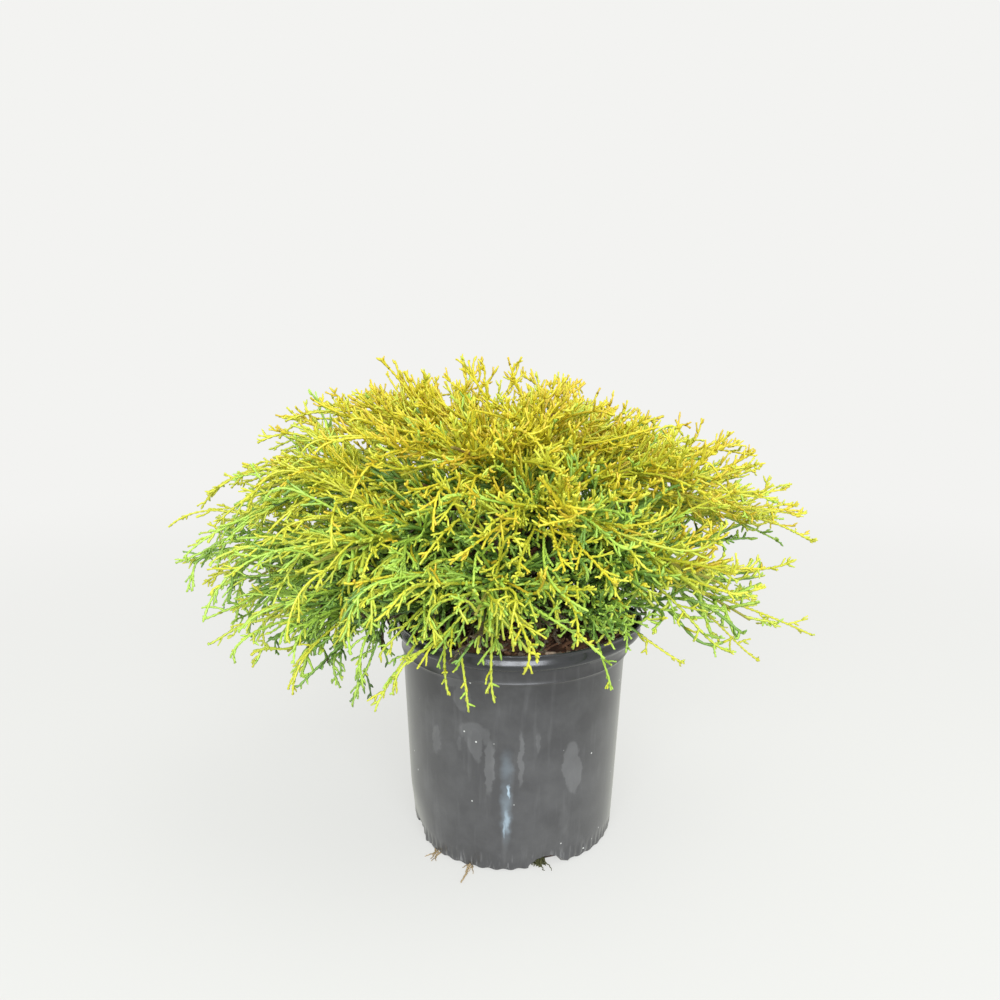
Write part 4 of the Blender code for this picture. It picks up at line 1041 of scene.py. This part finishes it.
def clothe(whip, across, light, bushy, finish):
    """A whip's own cord, up to where it meets the pot or the outline, its side shoots and their forks. It is
    made coarse, fine, or fine only from where it comes out of the crown's inside."""
    whip = even(whip, max(FEWEST_POINTS - 1, int(length_of(whip) / FINE_PITCH)))
    blocked = np.flatnonzero(~free(whip))
    blocked = blocked[blocked > 2]
    whip = whip[: blocked[0]] if len(blocked) else whip
    if len(whip) < FEWEST_POINTS:
        return
    depth = FINE_FROM[finish]
    may_be_amber = whip[-1][2] > AMBER_ABOVE and whip[-1][0] > AMBER_RIGHT_OF
    amber = may_be_amber and draw.random() < AMBER_SHARE
    late = whip[len(whip) * 2 // 3]
    tone = AMBER if amber else int(tone_of(light + light_on(late), late))
    # The whip's own cord, coarse and in a painted shade tone, no lighter than deep green, as far as the
    # depth where it turns fine
    outer = np.flatnonzero(depth_of(whip) > depth)
    split = min(int(outer[0]) if len(outer) else len(whip), len(whip) - 4)
    if split > 3:
        painted_shade = np.array([min(tone, DEEP_GREEN)])
        keep_cords(whip[None, : split + 1 : 2], across[None], FILL_RADII, painted_shade, False)
    keep_cords(whip[None, max(0, split - 1):], across[None], WHIP_RADII, np.array([tone]), depth < 1)
    # Its side shoots, which on the right leave it more squarely and go on nearly to its tip
    to_right = fade((late[0] - SHOOTS_RIGHT_FROM) / SHOOTS_RIGHT_OVER)
    angle = SHOOT_ANGLE_LEFT + (SHOOT_ANGLE_RIGHT - SHOOT_ANGLE_LEFT) * to_right
    ends = (SHOOTS_FIRST, SHOOTS_LAST + SHOOTS_LONGER_RIGHT * to_right)
    run = (SHOOT_LEAST, SHOOT_MOST * min(1, bushy), SHOOT_SHARE)
    shoots = branch(whip, across, SHOOT_SPACING / bushy, ends, (angle, SHOOT_STRAY), run)
    tones = tone_of(light + light_on(shoots[0]) + draw.normal(0, SHOOT_LUCK, len(shoots[0])), shoots[0])
    tones = np.where(amber & (tones >= LEMON), AMBER, tones)
    outside = depth_of(shoots[0]) > depth - SHOOTS_FINE_BEFORE
    for fine in (False, True):
        mine = outside == fine
        radii = SHOOT_RADII if fine else FILL_FORK_RADII
        for cord in deal([part[mine] for part in shoots], tones[mine], radii, fine, SHOOT_BEND, SHOOT_ROLL):
            fork(*cord, fine)
    fork(whip[-TIP_POINTS:], across, tone, depth < 1)


def whip_path(stem, leaves_at, plan, tip, hang, stray):
    """A whip leaves its stem forwards, rises to the crown's outline above its tip, and hangs down along it.
    It strays from that line by so many times the usual amount."""
    at = leaves_at * (len(stem) - 1)
    k = min(int(at), len(stem) - 2)
    start = stem[k] + (stem[k + 1] - stem[k]) * (at - k)
    forward = unit(stem[k + 1] - stem[k])
    depth = np.linalg.norm((tip - CROWN_HEART) / crown_reach(plan))
    over = crown_point(unit(plan + hang * UP), depth * BOW_DEPTH) + draw.normal(0, BOW_STRAY * stray, 3)
    leave = unit(unit(over - start) * (1 - FORWARD_SHARE) + forward * FORWARD_SHARE)
    first = start + leave * np.linalg.norm(over - start) * BOW_SHARE
    share = np.linspace(0, 1, WHIP_POINTS)[:, None]
    rest = 1 - share
    path = rest**3 * start + 3 * share * rest**2 * first + 3 * share**2 * rest * over + share**3 * tip
    wave = np.sin(share * draw.uniform(*WHIP_WAVES) + draw.uniform(0, 6)) * share
    return path + draw.normal(0, WHIP_STRAY * stray, 3) * wave


def spread_of_plans(number, count, spread):
    """Plan directions spread over the mass's share of the outline, each with how far off the middle it is."""
    centre = mass_plan(number)
    side = unit(np.cross(centre, np.array((0.03, 0.0, 1.0))))
    up = np.cross(side, centre)
    for k in range(count):
        apart = math.sqrt((k + 0.5) / count)
        turn = k * GOLDEN_ANGLE + number
        yield apart, unit(centre + math.tan(apart * spread) * (math.cos(turn) * side + math.sin(turn) * up))


def lean(plan):
    """The share of the crown's reach that the whips keep to in a unit direction of its plan."""
    share = 1.0
    for centre, amount, width in LEAN_PLACES:
        share -= amount * math.exp(-((np.linalg.norm(plan - unit(centre)) / width) ** 2))
    return share


def left_out(tip):
    """The share of whips left out round a tip."""
    if tip[0] < OPEN_LEFT:
        return 0.0
    return OPEN_LOW if tip[2] < OPEN_TOP else OPEN_HIGH


def wanted_whips(number):
    """The whips of a mass, as the share of the stem that each leaves from, its plan direction, its tip, what
    it gains in light, and how fine it is: those at the outline, the long ones and the leader."""
    collar = number >= SPIRAL_COUNT
    reach = mass_reach(number)
    droop = COLLAR_DROOP if collar else 0.0
    count = TOP_WHIP_COUNT if mass_plan(number)[2] > TOP_PLAN_HEIGHT else WHIP_COUNT
    count, spread = (COLLAR_WHIP_COUNT, COLLAR_SPREAD) if collar else (count, WHIP_SPREAD)
    for apart, plan in spread_of_plans(number, count, spread):
        leaves_at = LEAVES_LAST + (LEAVES_FIRST - LEAVES_LAST) * (0.6 * apart + 0.4 * draw.random())
        far = reach * lean(plan) * (1 - TIP_RAGGED * draw.random())
        tip = crown_point(plan, far) - droop * draw.random() * UP
        if collar or draw.random() > left_out(tip):
            yield leaves_at, plan, tip, USUAL_GAIN, "fine" if collar else "fine outside"
    for tip in [np.array(tip) for tip in LONG_SHOOTS if NEAREST[tip] == number]:
        plan = unit((tip - CROWN_HEART) / crown_reach(unit(tip - CROWN_HEART)))
        yield LONG_LEAVES, plan, tip, LONG_GAIN, "fine outside"
    plan = mass_plan(number)
    tip = crown_point(plan, reach * lean(plan) * LEADER_REACH)
    yield LEADER_LEAVES, plan, tip, USUAL_GAIN, "fine outside"


def send_whip(stem, leaves_at, plan, tip, gain, finish):
    """Bends one whip over from its stem to its tip, and clothes it."""
    stray, bushy = (LONG_STRAY, LONG_BUSHY) if gain == LONG_GAIN else (1.0, draw.uniform(*BUSHY))
    if draw.random() < BARE_SHARE:
        bushy = BARE
    most = HANG_LEFT + (HANG_RIGHT - HANG_LEFT) * fade((plan[0] - HANG_RIGHT_FROM) / HANG_RIGHT_OVER)
    hang = most * draw.uniform(*HANG_SHARES) * (1 - max(0.0, plan[2]) ** 2)
    whip = whip_path(stem, leaves_at, plan, tip, hang, stray)
    outwards = unit((whip[WHIP_POINTS * 3 // 4] - CROWN_HEART) / crown_reach(plan) ** 2)
    run = unit(whip[-1] - whip[WHIP_POINTS // 2])
    across = unit(np.cross(run, outwards))
    roll = draw.normal(0, WHIP_ROLL)
    across = across * math.cos(roll) + np.cross(run, across) * math.sin(roll)
    clothe(whip, across, gain + draw.normal(0, WHIP_LUCK), bushy, finish)


def grow_mass(number):
    """All the whips of one mass, and the shaded shoots that fill the space round its bough and stem."""
    stem = STEMS[number]
    for leaves_at, plan, tip, gain, finish in wanted_whips(number):
        send_whip(stem, leaves_at, plan, tip, gain, finish)
    across = unit(np.cross(stem[-1] - stem[0], UP))
    fills = branch(LIMBS[number], across, FILL_SPACING, FILL_ENDS, FILL_ANGLES, FILL_RUN)
    light = light_on(fills[0] + fills[1] * FILL_AHEAD) + FILL_GAIN + draw.normal(0, FILL_LUCK, len(fills[0]))
    for cord in deal(fills, tone_of(light, fills[0]), FILL_RADII, False, FILL_BEND, math.pi):
        fork(*cord, False)


def nearest_stem(place_at):
    """The number of the stem that passes nearest to a place, and where along it that is."""
    away = [np.linalg.norm(stem - place_at, axis=1) for stem in STEMS]
    number = int(np.argmin([some.min() for some in away]))
    return number, away[number].argmin() / len(STEMS[number])


def send_from_nearest(plan, tip, gain, finish):
    """Sends a whip to its tip from the stem that passes nearest to its way out."""
    number, leaves_at = nearest_stem(crown_point(plan, WAY_OUT))
    send_whip(STEMS[number], leaves_at, plan, tip, gain, finish)


def grow_skirt():
    """The whips that hang round the crown's foot and over the pot's lip."""
    for k in range(SKIRT_WHIP_COUNT):
        azimuth = k * GOLDEN_ANGLE
        plan = heading(azimuth, math.asin(skirt_height(azimuth) + draw.uniform(-SKIRT_BELOW, SKIRT_ABOVE)))
        tip = crown_point(plan, lean(plan) * draw.uniform(*SKIRT_DEPTHS))
        if draw.random() > left_out(tip):
            send_from_nearest(plan, tip, USUAL_GAIN, "fine")
    for _ in range(FRONT_WHIP_COUNT):
        azimuth = -math.pi / 2 + draw.uniform(-FRONT_SPREAD, FRONT_SPREAD)
        plan = heading(azimuth, math.asin(draw.uniform(*FRONT_HEIGHTS)))
        send_from_nearest(plan, crown_point(plan, draw.uniform(*FRONT_DEPTHS)), USUAL_GAIN, "fine")


def grow_core():
    """The older whips inside the crown, spread evenly all round, that close it to the eye."""
    for k in range(CORE_WHIP_COUNT):
        azimuth = k * GOLDEN_ANGLE + 1
        low = skirt_height(azimuth)
        plan = heading(azimuth, math.asin(low + (1 - low) * (k + 0.5) / CORE_WHIP_COUNT))
        tip = crown_point(plan, draw.uniform(*CORE_DEPTHS))
        if draw.random() > CORE_OPEN * left_out(tip):
            send_from_nearest(plan, tip, CORE_GAIN * max(0.0, plan[2]), "coarse")


def foliage_finish(name, colour):
    """Scale leaves: waxy and smooth, so a soft broad shine, and one plain colour to a spray."""
    settings = {"Base Color": linear(colour), "Roughness": 0.45, "Specular IOR Level": 0.5}
    return new_finish("scale_leaves_" + name, settings)[0]


def pieces_of(tone):
    """The tubes of one finish, dealt out into pieces under the limit of triangles."""
    pieces, total = [[]], 0
    for paths, radii, guides in [cord[1:] for cord in cords if cord[0] == tone]:
        made = tubes(paths, radii, guides)
        if total + len(made[1]) > PIECE_TRIANGLES:
            pieces.append([])
            total = 0
        pieces[-1].append(made)
        total += len(made[1])
    return pieces


STEMS = [path[round(LIMB_RINGS * BOUGH_SHARE):] for path in LIMBS]
NEAREST = {tip: nearest_stem(np.array(tip))[0] for tip in LONG_SHOOTS}
for number in range(MASS_COUNT):
    grow_mass(number)
grow_skirt()
grow_core()
masses = [f"foliage_{number + 1:02d}" for number in range(MASS_COUNT)]
for tone, (name, colour) in enumerate(TONES):
    scale_leaves = foliage_finish(name, colour)
    for part, made in enumerate(pieces_of(tone), 1):
        piece_name = f"foliage_{name}_{part}"
        place(add_piece(piece_name, joined(piece_name, made)), [scale_leaves], masses)


# The floor is a plain sweep of matt white board under the pot. Far off it turns into the pale tone that is
# all round, so that none of its edges shows.

PALE = "#F3F3F1"
FLOOR_RADIUS = 12.0
FLOOR_FADE = (0.25, 1.4)


def pale_floor():
    """Matt white board, lit from all sides, that turns into the background's own tone far away."""
    material, tree, shader = new_finish(
        "pale_floor", {"Base Color": linear("#C6C7C2"), "Roughness": 0.9, "Specular IOR Level": 0.1})
    place_on = add_node(tree, "TexCoord", {}).outputs["Object"]
    away = add_node(tree, "VectorMath", {"operation": "LENGTH"}, {0: place_on}).outputs["Value"]
    near, far = FLOOR_FADE
    faded = add_node(
        tree, "MapRange",
        {"From Min": near, "From Max": far, "To Min": 0.65, "interpolation_type": "SMOOTHSTEP"},
        {"Value": away})
    glow = add_node(tree, "Emission", {"Color": linear(PALE), "Strength": 1.0})
    both = add_node(tree, "MixShader", {}, {0: faded, 1: shader, 2: glow})
    tree.links.new(both.outputs[0], tree.nodes["Material Output"].inputs["Surface"])
    return material


bm = bmesh.new()
bmesh.ops.create_circle(bm, cap_ends=True, segments=96, radius=FLOOR_RADIUS)
floor = add_piece("floor", bm)
floor.data.materials.append(pale_floor())


# The light is soft and even. It comes from the pale surroundings, a wide window in front of the plant and a
# square lamp above it.

FACED = Vector((0.0, 0.0, 0.2))


def add_lamp(name, size, power, place_at, colour="#FFFFFF"):
    """A soft oblong lamp that faces the crown."""
    lamp = bpy.data.lights.new(name, "AREA")
    lamp.shape, lamp.energy, lamp.color = "RECTANGLE", power, linear(colour)[:3]
    lamp.size, lamp.size_y = size
    lit = bpy.data.objects.new(name, lamp)
    bpy.context.scene.collection.objects.link(lit)
    facing = (Vector(place_at) - FACED).to_track_quat("Z", "Y").to_matrix().to_4x4()
    lit.matrix_world = Matrix.Translation(place_at) @ facing


world = bpy.data.worlds.new("studio")
world.use_nodes = True
world.node_tree.nodes["Background"].inputs["Color"].default_value = linear(PALE)
world.node_tree.nodes["Background"].inputs["Strength"].default_value = 1.0
bpy.context.scene.world = world
add_lamp("window_in_front", (1.8, 0.6), 43.0, (0.05, -1.70, 1.15), "#F4F8FF")
add_lamp("fill_above", (1.0, 1.0), 9.0, (0.6, -0.2, 1.7))


# The camera stands in front, a little above the crown, and looks down on it. Its size, height and turn are
# those that put the pot's rim, foot and sides where the photograph has them.

CAMERA_PLACE = (0.0, -0.630, 0.381)
CAMERA_PITCH, CAMERA_ROLL = math.radians(12.1), math.radians(0.70)

lens = bpy.data.cameras.new("camera")
lens.sensor_width, lens.lens, lens.shift_x = 36.0, 32.65, -0.0156
lens.clip_start, lens.clip_end = 0.02, 60.0
camera = bpy.data.objects.new("camera", lens)
bpy.context.scene.collection.objects.link(camera)
tilt = Matrix.Rotation(math.pi / 2 - CAMERA_PITCH, 4, "X")
roll = Matrix.Rotation(CAMERA_ROLL, 4, "Z")
camera.matrix_world = Matrix.Translation(CAMERA_PLACE) @ tilt @ roll
bpy.context.scene.camera = camera
bpy.context.scene.view_settings.view_transform = "Standard"
